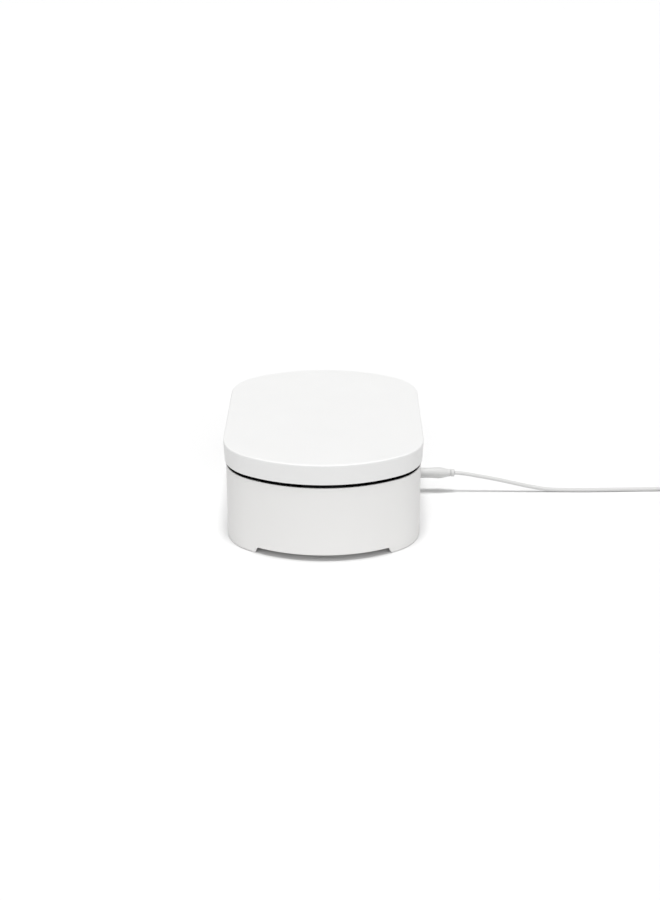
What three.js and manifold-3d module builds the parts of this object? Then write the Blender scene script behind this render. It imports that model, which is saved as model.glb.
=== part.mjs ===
// A compact wireless router: a white puck with two flat sides, a flared snap-on top cover over a black
// vent ring, the boards and antennas inside, and its plug-in power lead with a wall adapter.
// Millimetres, +Z up, front towards -Y, the port panel on the flat +X side. The origin is on the table,
// under the middle.

import * as THREE from "three";
import { mergeVertices } from "three/addons/utils/BufferGeometryUtils.js";
import Module from "manifold-3d";

// Driving dimensions.
const HALF_WIDTH = 80; // from the middle to each flat side of the lower housing
const DISC_RADIUS = 108.4; // of the round front and back
const CORNER_RADIUS = 44; // blends the round ends into the flat sides
const HEIGHT = 85.2;
const COVER_BOTTOM = 67.7;
const HOUSING_TOP = 64.3;
const HOUSING_BOTTOM = 0.4; // the skirt clears the table, and the rubber feet carry the router
const COVER_FLARE_BOTTOM = 1.1; // how far the cover stands out past the housing, at its lower edge
const COVER_FLARE_TOP = 2;
const WALL = 2.4;
const GAP = 0.3; // between pieces that touch
const NOTCH_HEIGHT = 5.3; // the air inlets under the front and the back
const NOTCH_HALF_WIDTH = 55.8;
const BASE_BOTTOM = 5.6;
const BASE_THICKNESS = 1.7;
const BOARD_BOTTOM = 8.9;
const BOARD_THICKNESS = 1.6;
const BOARD_TOP = BOARD_BOTTOM + BOARD_THICKNESS;
const PLUG_Y = 28; // where the power plug goes into the side
const PLUG_Z = 18.2;
const CORD_DIAMETER = 3.3;
const ARC_SEGMENTS = 5; // three.js gives each of the outline's arcs twice this many chords

const wasm = await Module();
wasm.setup();

const router = new THREE.Group();

// Materials.
const finish = (color, roughness, metalness = 0) =>
  new THREE.MeshStandardMaterial({ color, roughness, metalness });
const whitePlastic = finish(0xf0efed, 0.55);
const blackPlastic = finish(0x151515, 0.6);
const darkGreyPlastic = finish(0x3a3b3d, 0.6);
const rubber = finish(0x2c2c2c, 0.9);
const boardGreen = finish(0x1f5a3a, 0.5);
const chipBlack = finish(0x18191b, 0.5);
const padGrey = finish(0x9aa4ad, 0.8);
const aluminium = finish(0xb9bcc0, 0.4, 1);
const tinPlate = finish(0xc9cacc, 0.35, 1);
const brass = finish(0xc8a452, 0.35, 1);
const screwSteel = finish(0x8d9094, 0.4, 1);
const clearPlastic = finish(0xdfe6ea, 0.2);
const cordJacket = finish(0xededed, 0.6);

// Solids.
function toSolid(geometry) {
  const bare = geometry.clone();
  for (const attribute of Object.keys(bare.attributes)) {
    if (attribute !== "position") bare.deleteAttribute(attribute);
  }
  const merged = mergeVertices(bare, 1e-4);
  const corners = merged.index.array;
  const triangles = [];
  for (let i = 0; i < corners.length; i += 3) {
    const [a, b, c] = corners.slice(i, i + 3);
    if (a !== b && b !== c && c !== a) triangles.push(a, b, c);
  }
  return new wasm.Manifold(
    new wasm.Mesh({
      numProp: 3,
      vertProperties: Float32Array.from(merged.attributes.position.array),
      triVerts: Uint32Array.from(triangles),
    }),
  );
}

function toGeometry(solid) {
  const { vertProperties, triVerts } = solid.getMesh();
  const geometry = new THREE.BufferGeometry();
  geometry.setAttribute("position", new THREE.BufferAttribute(vertProperties, 3));
  geometry.setIndex(new THREE.BufferAttribute(triVerts, 1));
  return geometry;
}

function addPiece(name, solid, material) {
  const mesh = new THREE.Mesh(toGeometry(solid), material);
  mesh.name = name;
  router.add(mesh);
}

const union = (...solids) => solids.reduce((whole, next) => whole.add(next));
const cut = (solid, ...tools) => tools.reduce((rest, tool) => rest.subtract(tool), solid);

function box(x, y, z) {
  const geometry = new THREE.BoxGeometry(x[1] - x[0], y[1] - y[0], z[1] - z[0]);
  geometry.translate((x[0] + x[1]) / 2, (y[0] + y[1]) / 2, (z[0] + z[1]) / 2);
  return toSolid(geometry);
}

// A solid of revolution from [radius, height] pairs, standing on +Z at (x, y).
function turned(profile, [x, y], segments = 20) {
  const points = profile.map(([radius, height]) => new THREE.Vector2(radius, height));
  const geometry = new THREE.LatheGeometry(points, segments);
  geometry.rotateX(Math.PI / 2);
  geometry.translate(x, y, 0);
  return toSolid(geometry);
}

// The same from [radius, x] pairs, lying along +X at (y, z).
function turnedAlongX(profile, [y, z], segments = 20) {
  const points = profile.map(([radius, along]) => new THREE.Vector2(radius, along));
  const geometry = new THREE.LatheGeometry(points, segments);
  geometry.rotateZ(-Math.PI / 2);
  geometry.translate(0, y, z);
  return toSolid(geometry);
}

// The same from [radius, y] pairs, lying along +Y at (x, z).
function turnedAlongY(profile, [x, z], segments) {
  const points = profile.map(([radius, along]) => new THREE.Vector2(radius, along));
  const geometry = new THREE.LatheGeometry(points, segments);
  geometry.translate(x, 0, z);
  return toSolid(geometry);
}

const post = (radius, z, at, segments) =>
  turned([[0, z[0]], [radius, z[0]], [radius, z[1]], [0, z[1]]], at, segments);
const rodAlongX = (radius, x, at, segments) =>
  turnedAlongX([[0, x[0]], [radius, x[0]], [radius, x[1]], [0, x[1]]], at, segments);

// The outline: a disc with two flat sides, its four corners blended.
const CORNER_X = HALF_WIDTH - CORNER_RADIUS;
const CORNER_Y = Math.sqrt((DISC_RADIUS - CORNER_RADIUS) ** 2 - CORNER_X ** 2);
const BLEND_ANGLE = Math.atan2(CORNER_Y, CORNER_X);

function outline(offset) {
  const corner = CORNER_RADIUS + offset;
  const disc = DISC_RADIUS + offset;
  const shape = new THREE.Shape();
  shape.absarc(CORNER_X, CORNER_Y, corner, 0, BLEND_ANGLE);
  shape.absarc(0, 0, disc, BLEND_ANGLE, Math.PI - BLEND_ANGLE);
  shape.absarc(-CORNER_X, CORNER_Y, corner, Math.PI - BLEND_ANGLE, Math.PI);
  shape.absarc(-CORNER_X, -CORNER_Y, corner, Math.PI, Math.PI + BLEND_ANGLE);
  shape.absarc(0, 0, disc, Math.PI + BLEND_ANGLE, 2 * Math.PI - BLEND_ANGLE);
  shape.absarc(CORNER_X, -CORNER_Y, corner, 2 * Math.PI - BLEND_ANGLE, 2 * Math.PI);
  shape.closePath();
  return shape;
}

function slab(offset, z) {
  const geometry = new THREE.ExtrudeGeometry(outline(offset), {
    depth: z[1] - z[0],
    bevelEnabled: false,
    curveSegments: ARC_SEGMENTS,
  });
  geometry.translate(0, 0, z[0]);
  return toSolid(geometry);
}

// Moves a point of the plain outline outward by a distance, square to the outline.
function pushOut(x, y, distance) {
  const side = new THREE.Vector2(Math.sign(x), Math.sign(y));
  const fromCorner = new THREE.Vector2(Math.abs(x) - CORNER_X, Math.abs(y) - CORNER_Y);
  let direction = new THREE.Vector2(1, 0);
  if (Math.atan2(Math.abs(y), Math.abs(x)) > BLEND_ANGLE) {
    direction.set(Math.abs(x), Math.abs(y)).normalize();
  } else if (fromCorner.y > 0) {
    direction = fromCorner.normalize();
  }
  return [x + side.x * direction.x * distance, y + side.y * direction.y * distance];
}

// A solid whose outline changes with height: levels are [z, offset] pairs, from the bottom up.
function flaredSlab(levels) {
  const geometry = new THREE.ExtrudeGeometry(outline(0), {
    depth: levels.length - 1,
    steps: levels.length - 1,
    bevelEnabled: false,
    curveSegments: ARC_SEGMENTS,
  });
  const position = geometry.attributes.position;
  for (let i = 0; i < position.count; i += 1) {
    const [z, offset] = levels[Math.round(position.getZ(i))];
    const [x, y] = pushOut(position.getX(i), position.getY(i), offset);
    position.setXYZ(i, x, y, z);
  }
  return toSolid(geometry);
}

// Mirrors a place into the four corners, with the corner's name.
const corners = ([x, y]) => [
  ["front_left", [-x, -y]],
  ["front_right", [x, -y]],
  ["rear_left", [-x, y]],
  ["rear_right", [x, y]],
];

// Screws: a pan head and a plain shank, the head upward or downward.
const SCREW_SEGMENTS = 10;
const screwProfile = (headRadius, headHeight, shankRadius, length) => [
  [0, -length],
  [shankRadius, -length],
  [shankRadius, 0],
  [headRadius, 0],
  [headRadius * 0.92, headHeight],
  [0, headHeight],
];

function screw(at, seatZ, { headRadius, headHeight, shankRadius, length, headUp }) {
  const profile = screwProfile(headRadius, headHeight, shankRadius, length);
  const standing = headUp
    ? profile.map(([radius, height]) => [radius, seatZ + height])
    : profile.map(([radius, height]) => [radius, seatZ - height]).reverse();
  return turned(standing, at, SCREW_SEGMENTS);
}

// The corner bosses that the base and the inner frame are screwed to.
const BOSS_REACH = CORNER_RADIUS - WALL - 4.1;
const BOSS_AT = [CORNER_X + BOSS_REACH * Math.SQRT1_2, CORNER_Y + BOSS_REACH * Math.SQRT1_2];
const BOSS_RADIUS = 4.5;
const BOSS_TOP = 55;
const BOSS_HOLE_RADIUS = 1.7;
const BOSS_HOLE_DEPTH = 12;
const SCREW_HOLE_RADIUS = 1.8; // clears the screws in the base and the inner frame

// The port panel in the flat right side, with every opening along Y.
const PANEL = { halfLength: 48.5, bottom: 9.2, top: 26, outerX: 79.6, thickness: 1.8 };
const JACK = { width: 16, height: 13.4, depth: 17, faceX: 79.3 };
const NETWORK_JACKS = [["wan_jack", 10], ["lan_jack_1", -7.5], ["lan_jack_2", -25]];
const POWER_JACK = { width: 9.4, depth: 14, holeRadius: 5.2 };
const BUTTON_Z = 15.2;
const PAIR_BUTTON = { y: -38.5, radius: 3.3, holeRadius: 3.6 };
const RESET_BUTTON = { y: -45, radius: 0.9, holeRadius: 1.2 };
const LIGHT_PIPE = { y: 40, z: 17, radius: 1.4, holeRadius: 1.7 };

function notchTool() {
  const shoulder = NOTCH_HALF_WIDTH - 1.1;
  const flat = NOTCH_HALF_WIDTH - 3.4;
  const shape = new THREE.Shape();
  shape.moveTo(-NOTCH_HALF_WIDTH, -1);
  shape.lineTo(NOTCH_HALF_WIDTH, -1);
  shape.lineTo(shoulder, NOTCH_HEIGHT / 2);
  shape.quadraticCurveTo(shoulder - 0.7, NOTCH_HEIGHT, flat, NOTCH_HEIGHT);
  shape.lineTo(-flat, NOTCH_HEIGHT);
  shape.quadraticCurveTo(-shoulder + 0.7, NOTCH_HEIGHT, -shoulder, NOTCH_HEIGHT / 2);
  shape.closePath();
  const length = 2 * DISC_RADIUS + 20;
  const geometry = new THREE.ExtrudeGeometry(shape, {
    depth: length,
    bevelEnabled: false,
    curveSegments: 4,
  });
  geometry.rotateX(Math.PI / 2);
  geometry.translate(0, length / 2, 0);
  return toSolid(geometry);
}

// The lower housing: an open tube on the outline, with corner bosses, air inlets and the port window.
function makeHousing() {
  const edge = 0.4;
  const shell = cut(
    flaredSlab([
      [HOUSING_BOTTOM, -edge],
      [HOUSING_BOTTOM + edge, 0],
      [HOUSING_TOP - edge, 0],
      [HOUSING_TOP, -edge],
    ]),
    slab(-WALL, [HOUSING_BOTTOM - 1, HOUSING_TOP + 1]),
  );
  const bossBottom = BASE_BOTTOM + BASE_THICKNESS + GAP;
  const bosses = corners(BOSS_AT).map(([, at]) =>
    cut(
      post(BOSS_RADIUS, [bossBottom, BOSS_TOP], at, 16),
      post(BOSS_HOLE_RADIUS, [bossBottom - 1, bossBottom + BOSS_HOLE_DEPTH], at, 10),
      post(BOSS_HOLE_RADIUS, [BOSS_TOP - BOSS_HOLE_DEPTH, BOSS_TOP + 1], at, 10),
    ),
  );
  const window = box(
    [HALF_WIDTH - 2 * WALL, HALF_WIDTH + 1],
    [-PANEL.halfLength - GAP, PANEL.halfLength + GAP],
    [PANEL.bottom - GAP, PANEL.top + GAP],
  );
  addPiece("main_housing", cut(union(shell, ...bosses), notchTool(), window), whitePlastic);
}

// The port panel, a plate that fills the window, with an opening for each jack, button and light.
function makePortPanel() {
  const x = [PANEL.outerX - PANEL.thickness, PANEL.outerX];
  const through = [x[0] - 1, x[1] + 1];
  const openings = NETWORK_JACKS.map(([, y]) =>
    box(
      through,
      [y - JACK.width / 2 - GAP, y + JACK.width / 2 + GAP],
      [BOARD_TOP, BOARD_TOP + JACK.height + 2 * GAP],
    ),
  );
  const plate = box(x, [-PANEL.halfLength, PANEL.halfLength], [PANEL.bottom, PANEL.top]);
  addPiece(
    "port_panel",
    cut(
      plate,
      ...openings,
      rodAlongX(POWER_JACK.holeRadius, through, [PLUG_Y, PLUG_Z], 24),
      rodAlongX(PAIR_BUTTON.holeRadius, through, [PAIR_BUTTON.y, BUTTON_Z], 20),
      rodAlongX(RESET_BUTTON.holeRadius, through, [RESET_BUTTON.y, BUTTON_Z], 12),
      rodAlongX(LIGHT_PIPE.holeRadius, through, [LIGHT_PIPE.y, LIGHT_PIPE.z], 12),
    ),
    whitePlastic,
  );
}

// The top cover: a flared cap with a small rim radius, hollow below, with four snap tabs that hook
// the vent ring.
const TAB_HALF_WIDTH = 6;
const TAB_THICKNESS = 1.8;
const RING_OUTER = -3.6;
const RING_INNER = -5.4;
const TAB_OUTER = RING_INNER - 2 * GAP;
const TAB_BOTTOM = 61.6;
const TAB_PLACES = [
  [HALF_WIDTH, 0],
  [HALF_WIDTH, Math.PI],
  [DISC_RADIUS, Math.PI / 2],
  [DISC_RADIUS, -Math.PI / 2],
];

// A block set against the inside of the outline, at one of the four snap places.
function blockAt([distance, angle], offsets, halfWidth, z) {
  const geometry = new THREE.BoxGeometry(offsets[1] - offsets[0], 2 * halfWidth, z[1] - z[0]);
  geometry.translate(distance + (offsets[0] + offsets[1]) / 2, 0, (z[0] + z[1]) / 2);
  geometry.rotateZ(angle);
  return toSolid(geometry);
}

function makeTopCover() {
  const coverWall = 2.2;
  const rimRadius = 1.2;
  const lowerEdge = 0.3;
  const outer = flaredSlab([
    [COVER_BOTTOM, COVER_FLARE_BOTTOM - lowerEdge],
    [COVER_BOTTOM + lowerEdge, COVER_FLARE_BOTTOM],
    [HEIGHT - rimRadius, COVER_FLARE_TOP],
    [HEIGHT - rimRadius * 0.3, COVER_FLARE_TOP - rimRadius * 0.3],
    [HEIGHT, COVER_FLARE_TOP - rimRadius],
  ]);
  const hollowTop = HEIGHT - 2.4;
  const hollow = flaredSlab([
    [COVER_BOTTOM - 1, COVER_FLARE_BOTTOM - coverWall],
    [hollowTop - 1, COVER_FLARE_TOP - coverWall],
    [hollowTop, COVER_FLARE_TOP - coverWall - 1],
  ]);
  const tabs = TAB_PLACES.flatMap((place) => [
    blockAt(place, [TAB_OUTER - TAB_THICKNESS, TAB_OUTER], TAB_HALF_WIDTH, [TAB_BOTTOM, hollowTop + 0.5]),
    blockAt(place, [TAB_OUTER - 0.5, TAB_OUTER + 1.3], TAB_HALF_WIDTH - 1, [TAB_BOTTOM, TAB_BOTTOM + 1.4]),
  ]);
  addPiece("top_cover", union(cut(outer, hollow), ...tabs), whitePlastic);
}

// The black vent ring in the gap under the cover: a thin wall with an outer band that lies over the
// housing's rim, air slots all round and windows for the snaps.
const BAND_OUTER = -0.5;
const RING_BOTTOM = 60;
const RING_TOP = 72;
const VENT_SLOTS = 20;
const VENT_SLOT_LENGTH = 23;

function makeVentRing() {
  const bandZ = [HOUSING_TOP + GAP, COVER_BOTTOM - GAP];
  const slotEdge = 0.4;
  const wall = cut(
    union(slab(RING_OUTER, [RING_BOTTOM, RING_TOP]), slab(BAND_OUTER, bandZ)),
    slab(RING_INNER, [RING_BOTTOM - 1, RING_TOP + 1]),
  );
  const slotZ = [bandZ[0] + slotEdge, bandZ[1] - slotEdge];
  const slots = Array.from({ length: VENT_SLOTS }, (_, i) => {
    const angle = ((i + 0.5) / VENT_SLOTS) * 2 * Math.PI;
    const geometry = new THREE.BoxGeometry(HALF_WIDTH, VENT_SLOT_LENGTH, slotZ[1] - slotZ[0]);
    geometry.translate(HALF_WIDTH * 1.25, 0, (slotZ[0] + slotZ[1]) / 2);
    geometry.rotateZ(angle);
    return toSolid(geometry);
  });
  const windowZ = [TAB_BOTTOM - 0.5, TAB_BOTTOM + 1.7];
  const windows = TAB_PLACES.map((place) =>
    blockAt(place, [RING_INNER - 2, RING_OUTER + 2], TAB_HALF_WIDTH - 1 + GAP, windowZ),
  );
  addPiece("vent_ring", cut(wall, ...slots, ...windows), blackPlastic);
}

// The inner frame: a flat ring with four ears on the housing's bosses, and a hanging plate for each antenna.
const FRAME = { bottom: BOSS_TOP + GAP, thickness: 2.2, outer: -5.8, inner: -13 };
const FRAME_TOP = FRAME.bottom + FRAME.thickness;
const ANTENNA = { halfLength: 21, bottom: 36, top: 52, thickness: 0.8, offset: -11 };
const HOLDER_THICKNESS = 1.6;
const ANTENNA_PLACES = [
  ["front", [DISC_RADIUS, -Math.PI / 2]],
  ["rear", [DISC_RADIUS, Math.PI / 2]],
  ["left", [HALF_WIDTH, Math.PI]],
  ["right", [HALF_WIDTH, 0]],
];

function makeInnerFrame() {
  const ring = cut(
    slab(FRAME.outer, [FRAME.bottom, FRAME_TOP]),
    slab(FRAME.inner, [FRAME.bottom - 1, FRAME_TOP + 1]),
  );
  const holes = corners(BOSS_AT).map(([, at]) =>
    post(SCREW_HOLE_RADIUS, [FRAME.bottom - 1, FRAME_TOP + 1], at, 12),
  );
  const holders = ANTENNA_PLACES.map(([, place]) =>
    blockAt(
      place,
      [ANTENNA.offset, ANTENNA.offset + HOLDER_THICKNESS],
      ANTENNA.halfLength + 2,
      [ANTENNA.bottom - 2, FRAME_TOP - 0.5],
    ),
  );
  addPiece("inner_frame", union(cut(ring, ...holes), ...holders), darkGreyPlastic);
}

// The antennas: thin boards on the inside of the holders, each with its coaxial lead down to the main board.
function coaxialLead(points) {
  const curve = new THREE.CatmullRomCurve3(points.map(([x, y, z]) => new THREE.Vector3(x, y, z)));
  const section = new THREE.Shape();
  section.absarc(0, 0, 0.65, 0, 2 * Math.PI);
  const geometry = new THREE.ExtrudeGeometry(section, {
    steps: 12,
    bevelEnabled: false,
    curveSegments: 3,
    extrudePath: curve,
  });
  return toSolid(geometry);
}

const COAX_SOCKET_HEIGHT = 1.4;
const COAX_SOCKETS = { front: [14, -44], rear: [14, 44], left: [-62, 8], right: [44, 34] };

function makeAntennas() {
  for (const [name, place] of ANTENNA_PLACES) {
    const back = ANTENNA.offset - GAP;
    const board = blockAt(
      place,
      [back - ANTENNA.thickness, back],
      ANTENNA.halfLength,
      [ANTENNA.bottom, ANTENNA.top],
    );
    addPiece(`antenna_${name}`, board, boardGreen);

    const [distance, angle] = place;
    const feed = distance + back - ANTENNA.thickness - 1.2;
    const [x, y] = [feed * Math.cos(angle), feed * Math.sin(angle)];
    const [socketX, socketY] = COAX_SOCKETS[name];
    const socketTop = BOARD_TOP + GAP + COAX_SOCKET_HEIGHT;
    const along = (share, z) => [x + (socketX - x) * share, y + (socketY - y) * share, z];
    const lead = coaxialLead([
      along(0, ANTENNA.bottom + 6),
      along(0.04, ANTENNA.bottom - 3),
      along(0.25, BOARD_TOP + 18),
      along(0.7, BOARD_TOP + 9),
      along(1, BOARD_TOP + 5),
      along(1, socketTop - 0.6),
    ]);
    const socket = post(1.5, [BOARD_TOP + GAP, socketTop], [socketX, socketY], 12);
    addPiece(`coax_${name}`, union(lead, socket), blackPlastic);
  }
}

// The base: a flat plate with air slots, pads for the feet below and standoffs for the main board above.
const FOOT_AT = [54, 68];
const FOOT_RADIUS = 8;
const FOOT_THICKNESS = 2.2;
const STANDOFF_AT = [60, 48];
const STANDOFF_RADIUS = 3;
const STANDOFF_HOLE_RADIUS = 1.4;
const BASE_TOP = BASE_BOTTOM + BASE_THICKNESS;

function makeBase() {
  const plate = slab(-WALL - GAP, [BASE_BOTTOM, BASE_TOP]);
  const pads = corners(FOOT_AT).map(([, at]) =>
    post(FOOT_RADIUS + 1, [FOOT_THICKNESS + GAP, BASE_BOTTOM + 0.5], at, 20),
  );
  const standoffs = corners(STANDOFF_AT).map(([, at]) =>
    post(STANDOFF_RADIUS, [BASE_TOP - 0.5, BOARD_BOTTOM - GAP], at, 14),
  );
  const standoffHoles = corners(STANDOFF_AT).map(([, at]) =>
    post(STANDOFF_HOLE_RADIUS, [BASE_BOTTOM - 4, BOARD_TOP], at, 10),
  );
  const through = [BASE_BOTTOM - 1, BASE_TOP + 1];
  const screwHoles = corners(BOSS_AT).map(([, at]) => post(SCREW_HOLE_RADIUS, through, at, 12));
  const slot = { middleX: 22, halfLength: 17, halfWidth: 1.3, pitch: 9, rows: 9 };
  const slots = [-slot.middleX, slot.middleX].flatMap((middle) =>
    Array.from({ length: slot.rows }, (_, i) => {
      const y = (i - (slot.rows - 1) / 2) * slot.pitch;
      return box(
        [middle - slot.halfLength, middle + slot.halfLength],
        [y - slot.halfWidth, y + slot.halfWidth],
        through,
      );
    }),
  );
  addPiece(
    "base_plate",
    cut(union(plate, ...pads, ...standoffs), ...standoffHoles, ...screwHoles, ...slots),
    whitePlastic,
  );
  for (const [corner, at] of corners(FOOT_AT)) {
    const foot = turned(
      [
        [0, 0],
        [FOOT_RADIUS - 0.6, 0],
        [FOOT_RADIUS, 0.6],
        [FOOT_RADIUS, FOOT_THICKNESS],
        [0, FOOT_THICKNESS],
      ],
      at,
    );
    addPiece(`rubber_foot_${corner}`, foot, rubber);
  }
}

// The main board, with its chips, shields and heat sink.
const BOARD = { left: -68, right: 75.4, halfLength: 54 };
const CHIP_BOTTOM = BOARD_TOP + GAP;
const CPU = { x: -14, y: 0, halfSize: 9, height: 1.2 };
const PAD_BOTTOM = CHIP_BOTTOM + CPU.height + GAP;
const PAD_THICKNESS = 0.8;
const SINK_BOTTOM = PAD_BOTTOM + PAD_THICKNESS + GAP;
const SINK = { bottom: SINK_BOTTOM, plate: 3, finHeight: 17, halfX: 30, halfY: 24, fins: 11 };

function makeBoard() {
  const trim = 14;
  const outlineShape = new THREE.Shape();
  outlineShape.moveTo(BOARD.left + trim, -BOARD.halfLength);
  outlineShape.lineTo(BOARD.right - 3, -BOARD.halfLength);
  outlineShape.lineTo(BOARD.right, -BOARD.halfLength + 3);
  outlineShape.lineTo(BOARD.right, BOARD.halfLength - 3);
  outlineShape.lineTo(BOARD.right - 3, BOARD.halfLength);
  outlineShape.lineTo(BOARD.left + trim, BOARD.halfLength);
  outlineShape.lineTo(BOARD.left, BOARD.halfLength - trim);
  outlineShape.lineTo(BOARD.left, -BOARD.halfLength + trim);
  const geometry = new THREE.ExtrudeGeometry(outlineShape, { depth: BOARD_THICKNESS, bevelEnabled: false });
  geometry.translate(0, 0, BOARD_BOTTOM);
  const holes = corners(STANDOFF_AT).map(([, at]) => post(1.7, [BOARD_BOTTOM - 1, BOARD_TOP + 1], at, 12));
  addPiece("main_board", cut(toSolid(geometry), ...holes), boardGreen);
}

const chip = (x, y, halfX, halfY, height) =>
  box([x - halfX, x + halfX], [y - halfY, y + halfY], [CHIP_BOTTOM, CHIP_BOTTOM + height]);

function shieldCan(x, y, halfX, halfY, height) {
  const wall = 0.5;
  const hollow = box(
    [x - halfX + wall, x + halfX - wall],
    [y - halfY + wall, y + halfY - wall],
    [CHIP_BOTTOM - 1, CHIP_BOTTOM + height - wall],
  );
  return cut(chip(x, y, halfX, halfY, height), hollow);
}

function makeBoardParts() {
  addPiece("processor", chip(CPU.x, CPU.y, CPU.halfSize, CPU.halfSize, CPU.height), chipBlack);
  addPiece(
    "thermal_pad",
    box(
      [CPU.x - CPU.halfSize, CPU.x + CPU.halfSize],
      [CPU.y - CPU.halfSize, CPU.y + CPU.halfSize],
      [PAD_BOTTOM, PAD_BOTTOM + PAD_THICKNESS],
    ),
    padGrey,
  );
  addPiece("memory_chip", chip(-50, -8, 5, 6.5, 1.1), chipBlack);
  for (const [name, side] of [["front", -1], ["rear", 1]]) {
    addPiece(`rf_shield_${name}`, shieldCan(-18, side * 38, 20, 10, 3), tinPlate);
  }
  addPiece("ethernet_transformer", chip(49, -8, 4, 16, 6), chipBlack);
  const capacitor = { at: [46, 20], radius: 4, top: CHIP_BOTTOM + 12, edge: 0.5 };
  addPiece(
    "filter_capacitor",
    turned(
      [
        [0, CHIP_BOTTOM],
        [capacitor.radius, CHIP_BOTTOM],
        [capacitor.radius, capacitor.top - capacitor.edge],
        [capacitor.radius - capacitor.edge, capacitor.top],
        [0, capacitor.top],
      ],
      capacitor.at,
    ),
    aluminium,
  );

  const finThickness = 1.6;
  const pitch = (2 * SINK.halfY - finThickness) / (SINK.fins - 1);
  const finTop = SINK.bottom + SINK.plate + SINK.finHeight;
  const fins = Array.from({ length: SINK.fins }, (_, i) => {
    const y = -SINK.halfY + i * pitch;
    return box([CPU.x - SINK.halfX, CPU.x + SINK.halfX], [y, y + finThickness], [SINK.bottom + 1, finTop]);
  });
  const sinkPlate = box(
    [CPU.x - SINK.halfX, CPU.x + SINK.halfX],
    [-SINK.halfY, SINK.halfY],
    [SINK.bottom, SINK.bottom + SINK.plate],
  );
  addPiece("heat_sink", union(sinkPlate, ...fins), aluminium);
}

// The network jacks: a block with a socket open to the side, the latch slot on top of it.
const SOCKET = {
  halfWidth: 5.95,
  bottom: 2.2,
  height: 6.8,
  depth: 13,
  latchHalfWidth: 3.2,
  latchHeight: 2.6,
};

function makeNetworkJacks() {
  const backX = JACK.faceX - JACK.depth;
  for (const [name, y] of NETWORK_JACKS) {
    const body = box(
      [backX, JACK.faceX],
      [y - JACK.width / 2, y + JACK.width / 2],
      [CHIP_BOTTOM, CHIP_BOTTOM + JACK.height],
    );
    const socketBottom = CHIP_BOTTOM + SOCKET.bottom;
    const socketTop = socketBottom + SOCKET.height;
    const x = [JACK.faceX - SOCKET.depth, JACK.faceX + 1];
    const socket = box(x, [y - SOCKET.halfWidth, y + SOCKET.halfWidth], [socketBottom, socketTop]);
    const latch = box(
      x,
      [y - SOCKET.latchHalfWidth, y + SOCKET.latchHalfWidth],
      [socketTop - 0.5, socketTop + SOCKET.latchHeight],
    );
    addPiece(name, cut(body, socket, latch), chipBlack);
  }
}

// The power jack, its bore and centre pin on the plug's axis.
const PIN_RADIUS = 1;
const BARREL = { radius: 2.75, boreRadius: 1.3, length: 9.5 };

function makePowerJack() {
  const nose = PANEL.outerX - 0.6;
  const back = nose - POWER_JACK.depth;
  const body = box(
    [back, nose - 2.4],
    [PLUG_Y - POWER_JACK.width / 2, PLUG_Y + POWER_JACK.width / 2],
    [CHIP_BOTTOM, PLUG_Z + POWER_JACK.width / 2],
  );
  const collar = rodAlongX(POWER_JACK.width / 2, [nose - 3, nose], [PLUG_Y, PLUG_Z], 24);
  const bore = rodAlongX(BARREL.radius + GAP, [back + 2.5, nose + 1], [PLUG_Y, PLUG_Z], 20);
  const pin = rodAlongX(PIN_RADIUS, [back + 2, nose - 1], [PLUG_Y, PLUG_Z], 10);
  addPiece("power_jack", union(cut(union(body, collar), bore), pin), chipBlack);
}

// The two push buttons, each with its switch on the board behind it.
const BUTTON_TRAVEL_ROOM = 1;
const SWITCH_FACE = 72.6;

function makeSwitch(name, y) {
  const halfWidth = 2.9;
  const body = box(
    [SWITCH_FACE - 4, SWITCH_FACE],
    [y - halfWidth, y + halfWidth],
    [CHIP_BOTTOM, BUTTON_Z + halfWidth],
  );
  const plunger = rodAlongX(1.6, [SWITCH_FACE - 1, SWITCH_FACE + 0.9], [y, BUTTON_Z], 12);
  addPiece(name, union(body, plunger), chipBlack);
}

function makeButtons() {
  const stemStart = SWITCH_FACE + 0.9 + BUTTON_TRAVEL_ROOM;
  const flangeEnd = PANEL.outerX - PANEL.thickness - GAP;
  const pairFace = HALF_WIDTH + 0.5;
  addPiece(
    "pair_button",
    turnedAlongX(
      [
        [0, stemStart],
        [4.4, stemStart],
        [4.4, flangeEnd],
        [PAIR_BUTTON.radius, flangeEnd],
        [PAIR_BUTTON.radius, pairFace - 0.4],
        [PAIR_BUTTON.radius - 0.4, pairFace],
        [0, pairFace],
      ],
      [PAIR_BUTTON.y, BUTTON_Z],
      24,
    ),
    whitePlastic,
  );
  addPiece(
    "reset_button",
    turnedAlongX(
      [
        [0, stemStart],
        [1.9, stemStart],
        [1.9, flangeEnd],
        [RESET_BUTTON.radius, flangeEnd],
        [RESET_BUTTON.radius, PANEL.outerX - 0.8],
        [0, PANEL.outerX - 0.8],
      ],
      [RESET_BUTTON.y, BUTTON_Z],
      12,
    ),
    darkGreyPlastic,
  );
  makeSwitch("pair_switch", PAIR_BUTTON.y);
  makeSwitch("reset_switch", RESET_BUTTON.y);
}

// The status light: a lamp on the board and a clear bent pipe from it to the panel.
function makeStatusLight() {
  const bendX = 71;
  addPiece("status_led", chip(bendX, LIGHT_PIPE.y, 1.2, 1.6, 0.9), clearPlastic);
  const x = [bendX - 1, PANEL.outerX - 0.1];
  const across = rodAlongX(LIGHT_PIPE.radius, x, [LIGHT_PIPE.y, LIGHT_PIPE.z], 14);
  const down = post(1.2, [CHIP_BOTTOM + 0.9 + GAP, LIGHT_PIPE.z], [bendX, LIGHT_PIPE.y], 12);
  addPiece("status_light_pipe", union(across, down), clearPlastic);
}

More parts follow.
